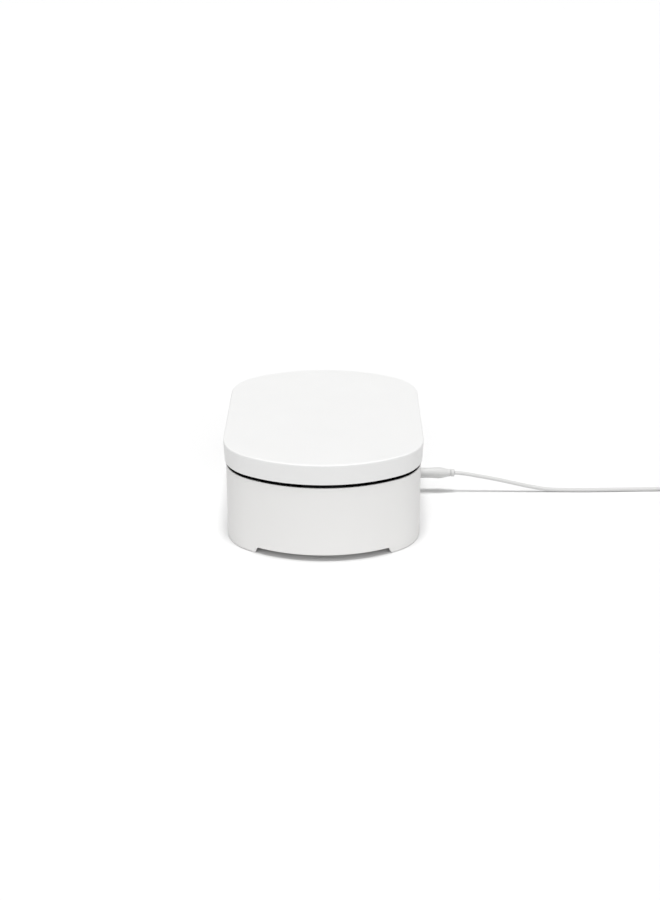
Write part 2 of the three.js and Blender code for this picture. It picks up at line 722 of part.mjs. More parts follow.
// Every screw.
function makeScrews() {
  const baseScrew = { headRadius: 3, headHeight: 1.5, shankRadius: 1.3, length: 12, headUp: false };
  const boardScrew = { headRadius: 2.6, headHeight: 1.6, shankRadius: 1.05, length: 4.8, headUp: true };
  const frameScrew = { headRadius: 3, headHeight: 1.7, shankRadius: 1.3, length: 12, headUp: true };
  for (const [corner, at] of corners(BOSS_AT)) {
    addPiece(`base_screw_${corner}`, screw(at, BASE_BOTTOM - GAP, baseScrew), screwSteel);
    addPiece(`frame_screw_${corner}`, screw(at, FRAME_TOP + GAP, frameScrew), screwSteel);
  }
  for (const [corner, at] of corners(STANDOFF_AT)) {
    addPiece(`board_screw_${corner}`, screw(at, BOARD_TOP + GAP, boardScrew), screwSteel);
  }
}

// The lead's plug: a moulded grip with a swelling and a tapered neck, a metal barrel, and a collar
// round the cord.
const GRIP_START = 80.2;
const GRIP_END = 111.6;
const COLLAR_END = 115;

function makePlug() {
  addPiece(
    "plug_grip",
    turnedAlongX(
      [
        [0, GRIP_START],
        [4.4, GRIP_START],
        [4.6, GRIP_START + 0.6],
        [4.5, GRIP_START + 12],
        [4.9, 101],
        [4.7, 103.5],
        [3.5, 108],
        [3.1, GRIP_END],
        [0, GRIP_END],
      ],
      [PLUG_Y, PLUG_Z],
      20,
    ),
    cordJacket,
  );
  const barrelEnd = GRIP_START - GAP;
  const barrelTip = barrelEnd - BARREL.length;
  addPiece(
    "plug_barrel",
    cut(
      rodAlongX(BARREL.radius, [barrelTip, barrelEnd], [PLUG_Y, PLUG_Z], 20),
      rodAlongX(BARREL.boreRadius, [barrelTip - 1, barrelEnd - 1], [PLUG_Y, PLUG_Z], 12),
    ),
    brass,
  );
  const collarStart = GRIP_END + GAP;
  addPiece(
    "cord_collar",
    turnedAlongX(
      [[0, collarStart], [3.3, collarStart], [3.3, COLLAR_END - 0.5], [2.6, COLLAR_END], [0, COLLAR_END]],
      [PLUG_Y, PLUG_Z],
      16,
    ),
    cordJacket,
  );
}

// The cord, 1.5 m long with the coil's turns: out of the collar, down to the table and along it to the coil,
// then on to the wall adapter.
const CORD_RADIUS = CORD_DIAMETER / 2;
const CORD_START = COLLAR_END + GAP;
const COIL = { x: 330, y: 5, radius: 19, halfThickness: 5, bottom: 1.4, top: 14.8 };
const CORD_BESIDE_COIL_Y = COIL.y + COIL.radius + COIL.halfThickness + GAP + CORD_RADIUS;
const CORD_ROUTE = [
  [CORD_START, PLUG_Y, PLUG_Z],
  [124, PLUG_Y, 17.4],
  [138, PLUG_Y, 14.8],
  [153, PLUG_Y, 11.9],
  [168, PLUG_Y, 8.4],
  [183, PLUG_Y, 5],
  [197, PLUG_Y, 2.6],
  [212, PLUG_Y, 1.8],
  [235, PLUG_Y, 1.8],
  [265, PLUG_Y + 1.2, 1.8],
  [300, PLUG_Y + 2.4, 1.8],
  [COIL.x - 0.5, CORD_BESIDE_COIL_Y, 2.6],
];
const ADAPTER = {
  x: 350,
  z: 14.2,
  reliefStart: -31,
  start: -49,
  length: 58,
  halfWidth: 21,
  height: 28,
};
const TAIL_X = COIL.x + COIL.radius + COIL.halfThickness + GAP + CORD_RADIUS;
const TAIL_ROUTE = [
  [TAIL_X, COIL.y - 0.5, 12.6],
  [TAIL_X - 0.6, -7, 11.6],
  [ADAPTER.x + 2.8, -17, 12],
  [ADAPTER.x + 0.4, -25, 13.6],
  [ADAPTER.x, ADAPTER.reliefStart + GAP, ADAPTER.z],
];

function cordStretch(route, steps) {
  const curve = new THREE.CatmullRomCurve3(route.map(([x, y, z]) => new THREE.Vector3(x, y, z)));
  const section = new THREE.Shape();
  section.absarc(0, 0, CORD_RADIUS, 0, 2 * Math.PI);
  return toSolid(
    new THREE.ExtrudeGeometry(section, { steps, bevelEnabled: false, curveSegments: 4, extrudePath: curve }),
  );
}

// The outer shape of the coil: a ring with chamfered edges.
function makeCoil() {
  const inner = COIL.radius - COIL.halfThickness;
  const outer = COIL.radius + COIL.halfThickness;
  const chamfer = 2;
  const profile = [
    [inner + chamfer, COIL.bottom],
    [outer - chamfer, COIL.bottom],
    [outer, COIL.bottom + chamfer],
    [outer, COIL.top - chamfer],
    [outer - chamfer, COIL.top],
    [inner + chamfer, COIL.top],
    [inner, COIL.top - chamfer],
    [inner, COIL.bottom + chamfer],
    [inner + chamfer, COIL.bottom],
  ];
  addPiece("power_cord_coil", turned(profile, [COIL.x, COIL.y], 28), cordJacket);
}

// The tie: a band round the coil's turns, on the side away from the cord.
function makeCordTie() {
  const halfBand = 4;
  const bandThickness = 0.9;
  const middle = COIL.y - COIL.radius;
  const reach = COIL.halfThickness + GAP;
  const x = [COIL.x - halfBand, COIL.x + halfBand];
  const low = COIL.bottom - GAP;
  const high = COIL.top + GAP;
  const outside = box(
    x,
    [middle - reach - bandThickness, middle + reach + bandThickness + 1],
    [low - bandThickness, high + bandThickness],
  );
  const inside = box([x[0] - 1, x[1] + 1], [middle - reach, middle + reach + 1], [low, high]);
  addPiece("cord_tie", cut(outside, inside), blackPlastic);
}

// The wall adapter, lying on its front with the blades upward, and its tapered strain relief.
function makeAdapter() {
  const end = ADAPTER.start - ADAPTER.length;
  const left = ADAPTER.x - ADAPTER.halfWidth;
  const right = ADAPTER.x + ADAPTER.halfWidth;
  const corner = 5;
  const shape = new THREE.Shape();
  shape.absarc(right - corner, ADAPTER.start - corner, corner, 0, Math.PI / 2);
  shape.absarc(left + corner, ADAPTER.start - corner, corner, Math.PI / 2, Math.PI);
  shape.absarc(left + corner, end + corner, corner, Math.PI, 1.5 * Math.PI);
  shape.absarc(right - corner, end + corner, corner, 1.5 * Math.PI, 2 * Math.PI);
  const geometry = new THREE.ExtrudeGeometry(shape, {
    depth: ADAPTER.height,
    bevelEnabled: false,
    curveSegments: 2,
  });
  addPiece("adapter_case", toSolid(geometry), whitePlastic);

  const relief = [
    [0, ADAPTER.start + GAP],
    [4.4, ADAPTER.start + GAP],
    [3.6, ADAPTER.start + 4],
    [2.3, ADAPTER.reliefStart],
    [0, ADAPTER.reliefStart],
  ];
  addPiece("adapter_strain_relief", turnedAlongY(relief, [ADAPTER.x, ADAPTER.z], 16), cordJacket);

  const blade = { spacing: 12.7, halfThickness: 0.75, halfWidth: 3.2, y: end + 16, reach: 16 };
  const bladeZ = [ADAPTER.height + GAP, ADAPTER.height + blade.reach];
  for (const [side, sign] of [["left", -1], ["right", 1]]) {
    const x = ADAPTER.x + (sign * blade.spacing) / 2;
    addPiece(
      `adapter_blade_${side}`,
      box(
        [x - blade.halfThickness, x + blade.halfThickness],
        [blade.y - blade.halfWidth, blade.y + blade.halfWidth],
        bladeZ,
      ),
      brass,
    );
  }
}

function makeCord() {
  addPiece("power_cord", cordStretch(CORD_ROUTE, 34), cordJacket);
  addPiece("power_cord_tail", cordStretch(TAIL_ROUTE, 10), cordJacket);
  makeCoil();
  makeCordTie();
}

makeHousing();
makePortPanel();
makeTopCover();
makeVentRing();
makeInnerFrame();
makeAntennas();
makeBase();
makeBoard();
makeBoardParts();
makeNetworkJacks();
makePowerJack();
makeButtons();
makeStatusLight();
makeScrews();
makePlug();
makeCord();
makeAdapter();

export default router;
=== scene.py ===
"""A compact wireless router with its plug-in power lead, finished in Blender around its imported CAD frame.

Metres, +Z up, the front towards -Y and the port panel on the flat +X side. The origin is on the table,
under the middle of the router.
"""
import math

import bmesh
import bpy
from mathutils import Matrix, Vector


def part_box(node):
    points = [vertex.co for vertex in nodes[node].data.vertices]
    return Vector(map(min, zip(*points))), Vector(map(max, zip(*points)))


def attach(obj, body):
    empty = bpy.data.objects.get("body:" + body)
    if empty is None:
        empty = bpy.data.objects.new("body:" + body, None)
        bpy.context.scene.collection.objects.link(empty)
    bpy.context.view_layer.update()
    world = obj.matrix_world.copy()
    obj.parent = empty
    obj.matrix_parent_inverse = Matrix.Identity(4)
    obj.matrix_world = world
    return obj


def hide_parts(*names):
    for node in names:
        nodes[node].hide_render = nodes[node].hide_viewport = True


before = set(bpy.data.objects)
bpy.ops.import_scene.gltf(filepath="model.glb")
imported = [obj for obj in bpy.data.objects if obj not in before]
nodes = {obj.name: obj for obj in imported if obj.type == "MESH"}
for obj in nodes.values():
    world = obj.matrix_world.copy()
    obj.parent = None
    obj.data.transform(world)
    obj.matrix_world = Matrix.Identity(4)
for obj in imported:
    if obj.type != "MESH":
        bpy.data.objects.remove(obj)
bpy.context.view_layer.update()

# The outline: a disc with two flat sides and blended corners.
HALF_WIDTH = 0.080
DISC_RADIUS = 0.1084
CORNER_RADIUS = 0.044
CORNER_X = HALF_WIDTH - CORNER_RADIUS
CORNER_Y = math.sqrt((DISC_RADIUS - CORNER_RADIUS) ** 2 - CORNER_X ** 2)
BLEND_ANGLE = math.atan2(CORNER_Y, CORNER_X)  # where the corner's round meets the disc

# Heights and walls of the casing.
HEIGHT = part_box("top_cover")[1].z
COVER_BOTTOM = 0.0677
HOUSING_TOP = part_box("main_housing")[1].z
HOUSING_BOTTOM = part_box("main_housing")[0].z
WALL = 0.0024
GAP = 0.0003
NOTCH_HEIGHT = 0.0053
NOTCH_HALF_WIDTH = 0.0558
NOTCH_SLOPE = 0.0011  # from its foot to half its height
NOTCH_END = 0.0034  # from its foot to its full height


# --- Scene: camera, floor and light ---

def make_camera():
    data = bpy.data.cameras.new("camera")
    data.sensor_width = 36
    data.lens = 59.2
    data.clip_start = 0.05
    data.clip_end = 60
    camera = new_object("camera", data)
    camera.location = (0.0104, -1.1711, 0.5464)
    camera.rotation_euler = (math.radians(67.1), 0, math.radians(0.26))
    bpy.context.scene.camera = camera


def make_world(seen, lighting):
    """White all round, with one strength for what the camera sees and another for what lights the object."""
    world = bpy.data.worlds.new("studio")
    world.use_nodes = True
    tree = world.node_tree
    background = tree.nodes["Background"]
    background.inputs["Color"].default_value = (1, 1, 1, 1)
    path = tree.nodes.new("ShaderNodeLightPath")
    strength = tree.nodes.new("ShaderNodeMapRange")
    set_inputs(strength, {"To Min": lighting, "To Max": seen})
    tree.links.new(path.outputs["Is Camera Ray"], strength.inputs["Value"])
    tree.links.new(strength.outputs["Result"], background.inputs["Strength"])
    bpy.context.scene.world = world


def soft_light(name, azimuth, elevation, width, brightness):
    """A far, even softbox. Azimuth 0 shines from the front and 90 from the right. Width is its angle across,
    and brightness is what it gives a white sheet that faces it."""
    data = bpy.data.lights.new(name, "SUN")
    data.energy = brightness * math.pi
    data.angle = math.radians(width)
    light = new_object(name, data)
    a, e = math.radians(azimuth), math.radians(elevation)
    towards = Vector((math.sin(a) * math.cos(e), -math.cos(a) * math.cos(e), math.sin(e)))
    light.rotation_euler = (-towards).to_track_quat("-Z", "Y").to_euler()


def make_floor():
    half = 8
    corners = [(-half, -half, 0), (half, -half, 0), (half, half, 0), (-half, half, 0)]
    floor = new_mesh("floor", corners, [(0, 1, 2, 3)])
    material, _, shader = new_material("white_paper", (0.82, 0.82, 0.82), 0.9)
    shader.inputs["Specular IOR Level"].default_value = 0.1
    floor.data.materials.append(material)


# --- Materials ---

def set_inputs(node, values):
    for name, value in values.items():
        node.inputs[name].default_value = value


def new_material(name, color, roughness, metallic=0.0):
    material = bpy.data.materials.new(name)
    material.use_nodes = True
    shader = material.node_tree.nodes["Principled BSDF"]
    set_inputs(shader, {"Base Color": (*color, 1), "Roughness": roughness, "Metallic": metallic})
    return material, material.node_tree, shader


def noise(tree, scale, detail=2.0, stretch=(1, 1, 1)):
    """A noise value from 0 to 1, scale per metre, on the object's own coordinates."""
    place = tree.nodes.new("ShaderNodeTexCoord")
    mapping = tree.nodes.new("ShaderNodeMapping")
    mapping.inputs["Scale"].default_value = stretch
    texture = tree.nodes.new("ShaderNodeTexNoise")
    set_inputs(texture, {"Scale": scale, "Detail": detail})
    tree.links.new(place.outputs["Object"], mapping.inputs["Vector"])
    tree.links.new(mapping.outputs["Vector"], texture.inputs["Vector"])
    return texture.outputs["Fac"]


def vary_color(tree, shader, value, color, change):
    """Moves the colour darker and lighter by a share of itself, as value goes from 0 to 1."""
    mix = tree.nodes.new("ShaderNodeMix")
    mix.data_type = "RGBA"
    mix.inputs["A"].default_value = (*[c * (1 - change) for c in color], 1)
    mix.inputs["B"].default_value = (*[c * (1 + change) for c in color], 1)
    tree.links.new(value, mix.inputs["Factor"])
    tree.links.new(mix.outputs["Result"], shader.inputs["Base Color"])


def vary_roughness(tree, shader, value, low, high):
    spread = tree.nodes.new("ShaderNodeMapRange")
    set_inputs(spread, {"From Min": 0.3, "From Max": 0.7, "To Min": low, "To Max": high})
    tree.links.new(value, spread.inputs["Value"])
    tree.links.new(spread.outputs["Result"], shader.inputs["Roughness"])


def add_bump(tree, shader, value, depth):
    bump = tree.nodes.new("ShaderNodeBump")
    set_inputs(bump, {"Strength": 1.0, "Distance": depth})
    tree.links.new(value, bump.inputs["Height"])
    tree.links.new(bump.outputs["Normal"], shader.inputs["Normal"])


def moulded(name, color, roughness, grain=0.0004, depth=0.00001, change=0.012, shine=0.5):
    """Moulded plastic: a fine spark-eroded grain, and colour and gloss that drift a little over the piece."""
    gloss_drift = 0.05
    material, tree, shader = new_material(name, color, roughness)
    shader.inputs["Specular IOR Level"].default_value = shine
    vary_color(tree, shader, noise(tree, 18, detail=3), color, change)
    drift = noise(tree, 60, detail=4)
    vary_roughness(tree, shader, drift, roughness - gloss_drift, roughness + gloss_drift)
    add_bump(tree, shader, noise(tree, 1 / grain, detail=3), depth)
    return material


def brushed_metal(name, color, roughness, stretch=(1, 12, 12)):
    """Metal with fine streaks. A larger stretch along an axis packs them closer together along it."""
    material, tree, shader = new_material(name, color, roughness, metallic=1.0)
    streaks = noise(tree, 1400, stretch=stretch)
    vary_color(tree, shader, streaks, color, 0.03)
    vary_roughness(tree, shader, streaks, roughness - 0.04, roughness + 0.06)
    add_bump(tree, shader, streaks, 0.0000015)
    return material


def circuit_board_material():
    """Green solder mask over copper tracks, with round pads."""
    mask = (0.012, 0.075, 0.032)
    track = (0.02, 0.13, 0.055)
    material, tree, shader = new_material("circuit_board_green", mask, 0.35)
    place = tree.nodes.new("ShaderNodeTexCoord")
    bricks = tree.nodes.new("ShaderNodeTexBrick")
    mask_beside = (*[c * 1.15 for c in mask], 1)
    set_inputs(bricks, {"Scale": 260, "Mortar Size": 0.09})
    set_inputs(bricks, {"Color1": (*mask, 1), "Color2": mask_beside, "Mortar": (*track, 1)})
    tree.links.new(place.outputs["Object"], bricks.inputs["Vector"])
    pads = tree.nodes.new("ShaderNodeTexVoronoi")
    pads.inputs["Scale"].default_value = 240
    tree.links.new(place.outputs["Object"], pads.inputs["Vector"])
    is_pad = tree.nodes.new("ShaderNodeMath")
    is_pad.operation = "LESS_THAN"
    is_pad.inputs[1].default_value = 0.12
    tree.links.new(pads.outputs["Distance"], is_pad.inputs[0])
    mix = tree.nodes.new("ShaderNodeMix")
    mix.data_type = "RGBA"
    mix.inputs["B"].default_value = (0.55, 0.5, 0.38, 1)
    tree.links.new(is_pad.outputs[0], mix.inputs["Factor"])
    tree.links.new(bricks.outputs["Color"], mix.inputs["A"])
    tree.links.new(mix.outputs["Result"], shader.inputs["Base Color"])
    add_bump(tree, shader, bricks.outputs["Fac"], 0.00002)
    return material


def clear_plastic_material():
    material, tree, shader = new_material("clear_acrylic", (0.86, 0.9, 0.93), 0.2)
    set_inputs(shader, {"Transmission Weight": 0.45, "IOR": 1.49})
    add_bump(tree, shader, noise(tree, 700), 0.00001)
    return material


def strap_material():
    """Hook-and-loop strap: a black weave under short fuzz."""
    color = (0.018, 0.018, 0.02)
    material, tree, shader = new_material("woven_strap", color, 0.9)
    set_inputs(shader, {"Sheen Weight": 0.5, "Sheen Roughness": 0.5})
    weave = noise(tree, 2600, 3, (1, 1, 1.6))
    vary_color(tree, shader, weave, color, 0.5)
    add_bump(tree, shader, weave, 0.0001)
    return material


MATERIALS = {
    "cover": moulded("cover_plastic", (0.795, 0.795, 0.79), 0.42),
    "housing": moulded("housing_plastic", (0.79, 0.785, 0.775), 0.5),
    "base": moulded("base_plastic", (0.6, 0.595, 0.585), 0.55),
    # The vent ring is black plastic, and its colour is darkened further to paint the shade in the gap between
    # cover and housing.
    "vent": moulded("vent_plastic_painted_shade", (0.002, 0.002, 0.0021), 0.8, change=0.1, shine=0.06),
    "frame": moulded("frame_plastic", (0.045, 0.046, 0.048), 0.55, change=0.06),
    "rubber": moulded("foot_rubber", (0.022, 0.022, 0.023), 0.85, grain=0.0003, depth=0.00004, change=0.15),
    "chip": moulded("chip_epoxy", (0.014, 0.014, 0.015), 0.55, grain=0.0002, change=0.12),
    "jack": moulded("jack_plastic", (0.016, 0.016, 0.017), 0.4, change=0.1),
    "pad": moulded("silicone_pad", (0.32, 0.36, 0.4), 0.75, grain=0.0006, depth=0.00003, change=0.05),
    "cord": moulded(
        "cord_jacket", (0.6, 0.6, 0.595), 0.5, grain=0.0008, depth=0.00002, change=0.015, shine=0.3
    ),
    "adapter": moulded("adapter_plastic", (0.78, 0.775, 0.765), 0.45),
    "board": circuit_board_material(),
    "clear": clear_plastic_material(),
    "strap": strap_material(),
    "sink": brushed_metal("anodised_aluminium", (0.42, 0.43, 0.44), 0.38),
    "tin": brushed_metal("tin_plate", (0.62, 0.62, 0.6), 0.3, (1, 14, 1)),
    "can": brushed_metal("capacitor_sleeve", (0.5, 0.51, 0.53), 0.32, (1, 1, 14)),
    "screw": brushed_metal("screw_steel", (0.36, 0.37, 0.38), 0.34, (1, 1, 1)),
    "gold": brushed_metal("gold_plate", (0.83, 0.6, 0.22), 0.22, (1, 8, 8)),
    "plug_metal": brushed_metal("nickel_plate", (0.62, 0.6, 0.56), 0.22, (8, 1, 1)),
}


# --- Mesh helpers ---

def new_object(name, data):
    made = bpy.data.objects.new(name, data)
    bpy.context.scene.collection.objects.link(made)
    return made


def new_mesh(name, points, faces):
    mesh = bpy.data.meshes.new(name)
    mesh.from_pydata([tuple(p) for p in points], [], faces)
    mesh.validate()
    return new_object(name, mesh)


def bake_modifiers(piece):
    """Turns what the modifiers make into the piece's own mesh."""
    graph = bpy.context.evaluated_depsgraph_get()
    made = bpy.data.meshes.new_from_object(piece.evaluated_get(graph))
    piece.modifiers.clear()
    piece.data = made


def carve(piece, tools, operation="DIFFERENCE"):
    """Cuts the tools out of a piece, or joins them to it, and removes them."""
    for tool in tools:
        modifier = piece.modifiers.new(operation.lower(), "BOOLEAN")
        modifier.operation = operation
        modifier.solver = "EXACT"
        modifier.object = tool
    bake_modifiers(piece)
    for tool in tools:
        bpy.data.objects.remove(tool)


def round_edges(piece, width, segments, angle):
    modifier = piece.modifiers.new("round_edges", "BEVEL")
    modifier.width = width
    modifier.segments = segments
    modifier.limit_method = "ANGLE"
    modifier.angle_limit = math.radians(angle)
    modifier.miter_outer = "MITER_ARC"


def soften(piece, width):
    """Rounds a square piece's edges for good, before anything is cut from it."""
    round_edges(piece, width, segments=2, angle=60)
    bake_modifiers(piece)


def smooth_faces(piece, angle):
    """Smooth shading that keeps flat faces flat, and edges over an angle in degrees sharp."""
    mesh = piece.data
    mesh.polygons.foreach_set("use_smooth", [True] * len(mesh.polygons))
    mesh.set_sharp_from_angle(angle=math.radians(angle))
    modifier = piece.modifiers.new("flat_faces_stay_flat", "WEIGHTED_NORMAL")
    modifier.keep_sharp = True


def finish_piece(piece, material, slot, body, *replaced, sharp_from=38):
    """Smooths a new piece, gives it its material and body, and hides the CAD nodes that it replaces. The slot
    is not used.
    """
    if piece.type == "MESH":
        smooth_faces(piece, sharp_from)
    piece.data.materials.clear()
    piece.data.materials.append(MATERIALS[material])
    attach(piece, body)
    if replaced:
        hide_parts(*replaced)
    return piece


def loft(name, rings, closed=False, caps=(False, False)):
    """A skin over rings of points. closed joins the last ring to the first, and a cap fills an end."""
    count = len(rings[0])
    points = [p for ring in rings for p in ring]
    faces = []
    bands = len(rings) if closed else len(rings) - 1
    for i in range(bands):
        low, high = i * count, (i + 1) % len(rings) * count
        for j in range(count):
            k = (j + 1) % count
            faces.append((low + j, low + k, high + k, high + j))
    for end, (is_capped, ring) in enumerate(zip(caps, (rings[0], rings[-1]))):
        if is_capped:
            middle = len(points)
            points.append(sum(ring, Vector()) / count)
            start = 0 if end == 0 else (len(rings) - 1) * count
            for j in range(count):
                k = (j + 1) % count
                faces.append((middle, start + k, start + j) if end == 0 else (middle, start + j, start + k))
    return new_mesh(name, points, faces)


def hoop(middle, side, other, radius, count):
    """Points round a circle in the plane of two directions."""
    angles = [2 * math.pi * i / count for i in range(count)]
    return [middle + (side * math.cos(a) + other * math.sin(a)) * radius for a in angles]


def turned(name, profile, start, axis, segments=48):
    """A solid of revolution from (radius, distance) pairs; an end on the axis closes there."""
    axis = Vector(axis).normalized()
    side = axis.orthogonal().normalized()
    other = axis.cross(side)
    start = Vector(start)
    rings = [hoop(start + axis * distance, side, other, radius, segments) for radius, distance in profile]
    piece = loft(name, rings, caps=(True, True))
    merge_points(piece)
    return piece


def peg(radius, length, chamfer):
    """A peg's profile with a chamfered end. A chamfer below 0 widens it, as a tool for a countersunk hole."""
    return [(0, 0), (radius, 0), (radius, length - abs(chamfer)), (radius - chamfer, length), (0, length)]


def merge_points(piece, distance=1e-7):
    work = bmesh.new()
    work.from_mesh(piece.data)
    bmesh.ops.remove_doubles(work, verts=work.verts, dist=distance)
    bmesh.ops.recalc_face_normals(work, faces=work.faces)
    work.to_mesh(piece.data)
    work.free()


def join(name, pieces):
    """One object with the meshes of several."""
    work = bmesh.new()
    for piece in pieces:
        work.from_mesh(piece.data)
        bpy.data.objects.remove(piece)
    mesh = bpy.data.meshes.new(name)
    work.to_mesh(mesh)
    work.free()
    return new_object(name, mesh)


def arc(middle, radius, first, last, steps):
    """Points of a round from one angle to another, in degrees, both ends included."""
    angles = [math.radians(first + (last - first) * i / steps) for i in range(steps + 1)]
    return [(middle[0] + radius * math.cos(a), middle[1] + radius * math.sin(a)) for a in angles]


def block(name, low, high):
    """A box between two opposite corners."""
    points = [(x, y, z) for x in (low[0], high[0]) for y in (low[1], high[1]) for z in (low[2], high[2])]
    faces = [(0, 1, 3, 2), (4, 6, 7, 5), (0, 4, 5, 1), (2, 3, 7, 6), (0, 2, 6, 4), (1, 5, 7, 3)]
    return new_mesh(name, points, faces)


def prism(name, outline, low, high, axis="x", flare=0.0, flare_depth=0.0):
    """An outline of (a, b) pairs pushed along x or y. A flare widens its end, as a tool for a chamfer."""
    middle = [sum(p[k] for p in outline) / len(outline) for k in (0, 1)]

    def ring(distance, grow):
        points = []
        for a, b in outline:
            a += math.copysign(grow, a - middle[0])
            b += math.copysign(grow, b - middle[1])
            points.append(Vector((distance, a, b) if axis == "x" else (a, distance, b)))
        return points

    rings = [ring(low, 0), ring(high - flare_depth, 0)]
    if flare:
        rings.append(ring(high, flare))
    piece = loft(name, rings, caps=(True, True))
    merge_points(piece)
    return piece


def rounded_rectangle(low, high, radius, steps=6, inset=0.0):
    """(a, b) pairs, anticlockwise, round a rectangle between two corners with its sides moved in by inset."""
    left, right = low[0] + inset + radius, high[0] - inset - radius
    bottom, top = low[1] + inset + radius, high[1] - inset - radius
    middles = [(right, top), (left, top), (left, bottom), (right, bottom)]
    return [p for i, middle in enumerate(middles) for p in arc(middle, radius, 90 * i, 90 * i + 90, steps)]


# --- The outline ---

def quarter_outline():
    """(point, outward normal) pairs from the flat side's middle to the round end's middle, anticlockwise."""
    flat_steps, corner_steps, skirt_steps, shoulder_steps, inlet_steps = 12, 28, 4, 16, 24
    inlet_foot = math.acos(NOTCH_HALF_WIDTH / DISC_RADIUS)
    inlet_top = math.acos((NOTCH_HALF_WIDTH - NOTCH_END) / DISC_RADIUS)
    disc_angles = (
        spread(BLEND_ANGLE, inlet_foot, skirt_steps)
        + spread(inlet_foot, inlet_top, shoulder_steps)
        + spread(inlet_top, math.pi / 2, inlet_steps)
    )

    def on_round(x, y, radius, angles):
        normals = [(math.cos(a), math.sin(a)) for a in angles]
        return [((x + radius * n[0], y + radius * n[1]), n) for n in normals]

    flat = [((HALF_WIDTH, y), (1.0, 0.0)) for y in spread(0, CORNER_Y, flat_steps)]
    corner = on_round(CORNER_X, CORNER_Y, CORNER_RADIUS, spread(0, BLEND_ANGLE, corner_steps))
    return flat + corner + on_round(0, 0, DISC_RADIUS, disc_angles)


def spread(first, last, steps):
    """Evenly spaced values from first up to, but not including, last."""
    return [first + (last - first) * i / steps for i in range(steps)]


def whole_outline():
    """The outline all round, anticlockwise, as (point, outward normal) pairs."""
    quarter = quarter_outline()
    top = ((0.0, DISC_RADIUS), (0.0, 1.0))

    def mirrored(samples, x, y):
        return [((p[0] * x, p[1] * y), (n[0] * x, n[1] * y)) for p, n in samples]

    return (
        quarter
        + mirrored([top] + quarter[:0:-1], -1, 1)
        + mirrored(quarter, -1, -1)
        + mirrored([top] + quarter[:0:-1], 1, -1)
    )


OUTLINE = whole_outline()


def outline_ring(offset, z):
    """The outline moved outward by offset, at a height that is a number or a function of the point."""
    ring = []
    for (x, y), (nx, ny) in OUTLINE:
        height = z(x, y) if callable(z) else z
        ring.append(Vector((x + nx * offset, y + ny * offset, height)))
    return ring


# --- The casing ---

# Offsets outwards from the outline, and heights.
BAND_OUTER = -0.0005
RING_OUTER = -0.0036
RING_INNER = -0.0054
TAB_OUTER = RING_INNER - 2 * GAP
TAB_BOTTOM = 0.0616
SNAP_PLACES = [  # (distance from the middle, angle)
    (HALF_WIDTH, 0), (HALF_WIDTH, math.pi), (DISC_RADIUS, math.pi / 2), (DISC_RADIUS, -math.pi / 2)
]

PANEL = {"half_length": 0.0485, "bottom": 0.0092, "top": 0.026}

# The corners, with their signs in x and y. Each has a post for screws.
CORNERS = {"front_left": (-1, -1), "front_right": (1, -1), "rear_left": (-1, 1), "rear_right": (1, 1)}
BOSS_REACH = CORNER_RADIUS - WALL - 0.0041  # from the middle of the corner's round
BOSS_X = CORNER_X + BOSS_REACH * math.sqrt(0.5)
BOSS_Y = CORNER_Y + BOSS_REACH * math.sqrt(0.5)


def make_top_cover():
    """A flared cap with a small rim radius and a faintly dished top, hollow below, with four snap tabs."""
    lower_flare, upper_flare = 0.0011, 0.0020
    rim, edge, wall, ceiling, dish = 0.0012, 0.0003, 0.0022, 0.0024, 0.0006
    lip, ceiling_corner = 0.0004, 0.001
    side_steps, top_steps = 6, 14
    rim_crowding = 1.2  # above 1, the rings of the top lie closer together near the rim
    foot = lower_flare - wall
    profile = [(foot + lip, COVER_BOTTOM)]
    profile += arc((lower_flare - edge, COVER_BOTTOM + edge), edge, -90, 0, 4)
    for i in range(1, side_steps):
        share = i / side_steps
        flare = lower_flare + (upper_flare - lower_flare) * share
        profile.append((flare, COVER_BOTTOM + edge + (HEIGHT - rim - COVER_BOTTOM - edge) * share))
    profile += arc((upper_flare - rim, HEIGHT - rim), rim, 3, 90, 8)
    rings = [outline_ring(offset, z) for offset, z in profile]

    edge_ring = outline_ring(upper_flare - rim, HEIGHT)
    for i in range(1, top_steps):
        size = 1 - (i / top_steps) ** rim_crowding
        height = HEIGHT - dish * (1 - size ** 2) ** 2
        rings.append([Vector((p.x * size, p.y * size, height)) for p in edge_ring])
    outer = loft("outer", rings, caps=(False, True))

    inside = [(foot + lip, COVER_BOTTOM), (foot, COVER_BOTTOM + lip)]
    inner_corner = (upper_flare - wall - ceiling_corner, HEIGHT - ceiling - ceiling_corner)
    inside += arc(inner_corner, ceiling_corner, 0, 90, 4)
    rings = [outline_ring(offset, z) for offset, z in inside]
    ceiling_ring = rings[-1]
    for size in (0.9, 0.6, 0.3):
        rings.append([Vector((p.x * size, p.y * size, p.z)) for p in ceiling_ring])
    hollow = loft("hollow", rings, caps=(False, True))
    hollow.data.flip_normals()

    cover = join("top_cover_shell", [outer, hollow])
    merge_points(cover)
    carve(cover, [snap_tab(place, ceiling) for place in SNAP_PLACES], "UNION")
    return finish_piece(cover, "cover", "cover_white", "router", "top_cover")


def near_snap(point):
    """Whether a point of the outline lies in front of a snap tab, where the band has no slots."""
    clear = 0.016
    return abs(point[0]) < clear or abs(point[1]) < clear


def snap_window(place):
    """A tool that opens the ring for a snap tab's hook."""
    half_width, below, above, through = 0.0053, 0.0005, 0.0017, 0.002
    low = (RING_INNER - through, -half_width, TAB_BOTTOM - below)
    high = (RING_OUTER + through, half_width, TAB_BOTTOM + above)
    return set_on_outline(block("snap_window", low, high), place)


def set_on_outline(piece, place):
    """Moves what was made about the origin to a (distance from the middle, angle) place."""
    distance, angle = place
    piece.data.transform(Matrix.Rotation(angle, 4, "Z") @ Matrix.Translation((distance, 0, 0)))
    return piece


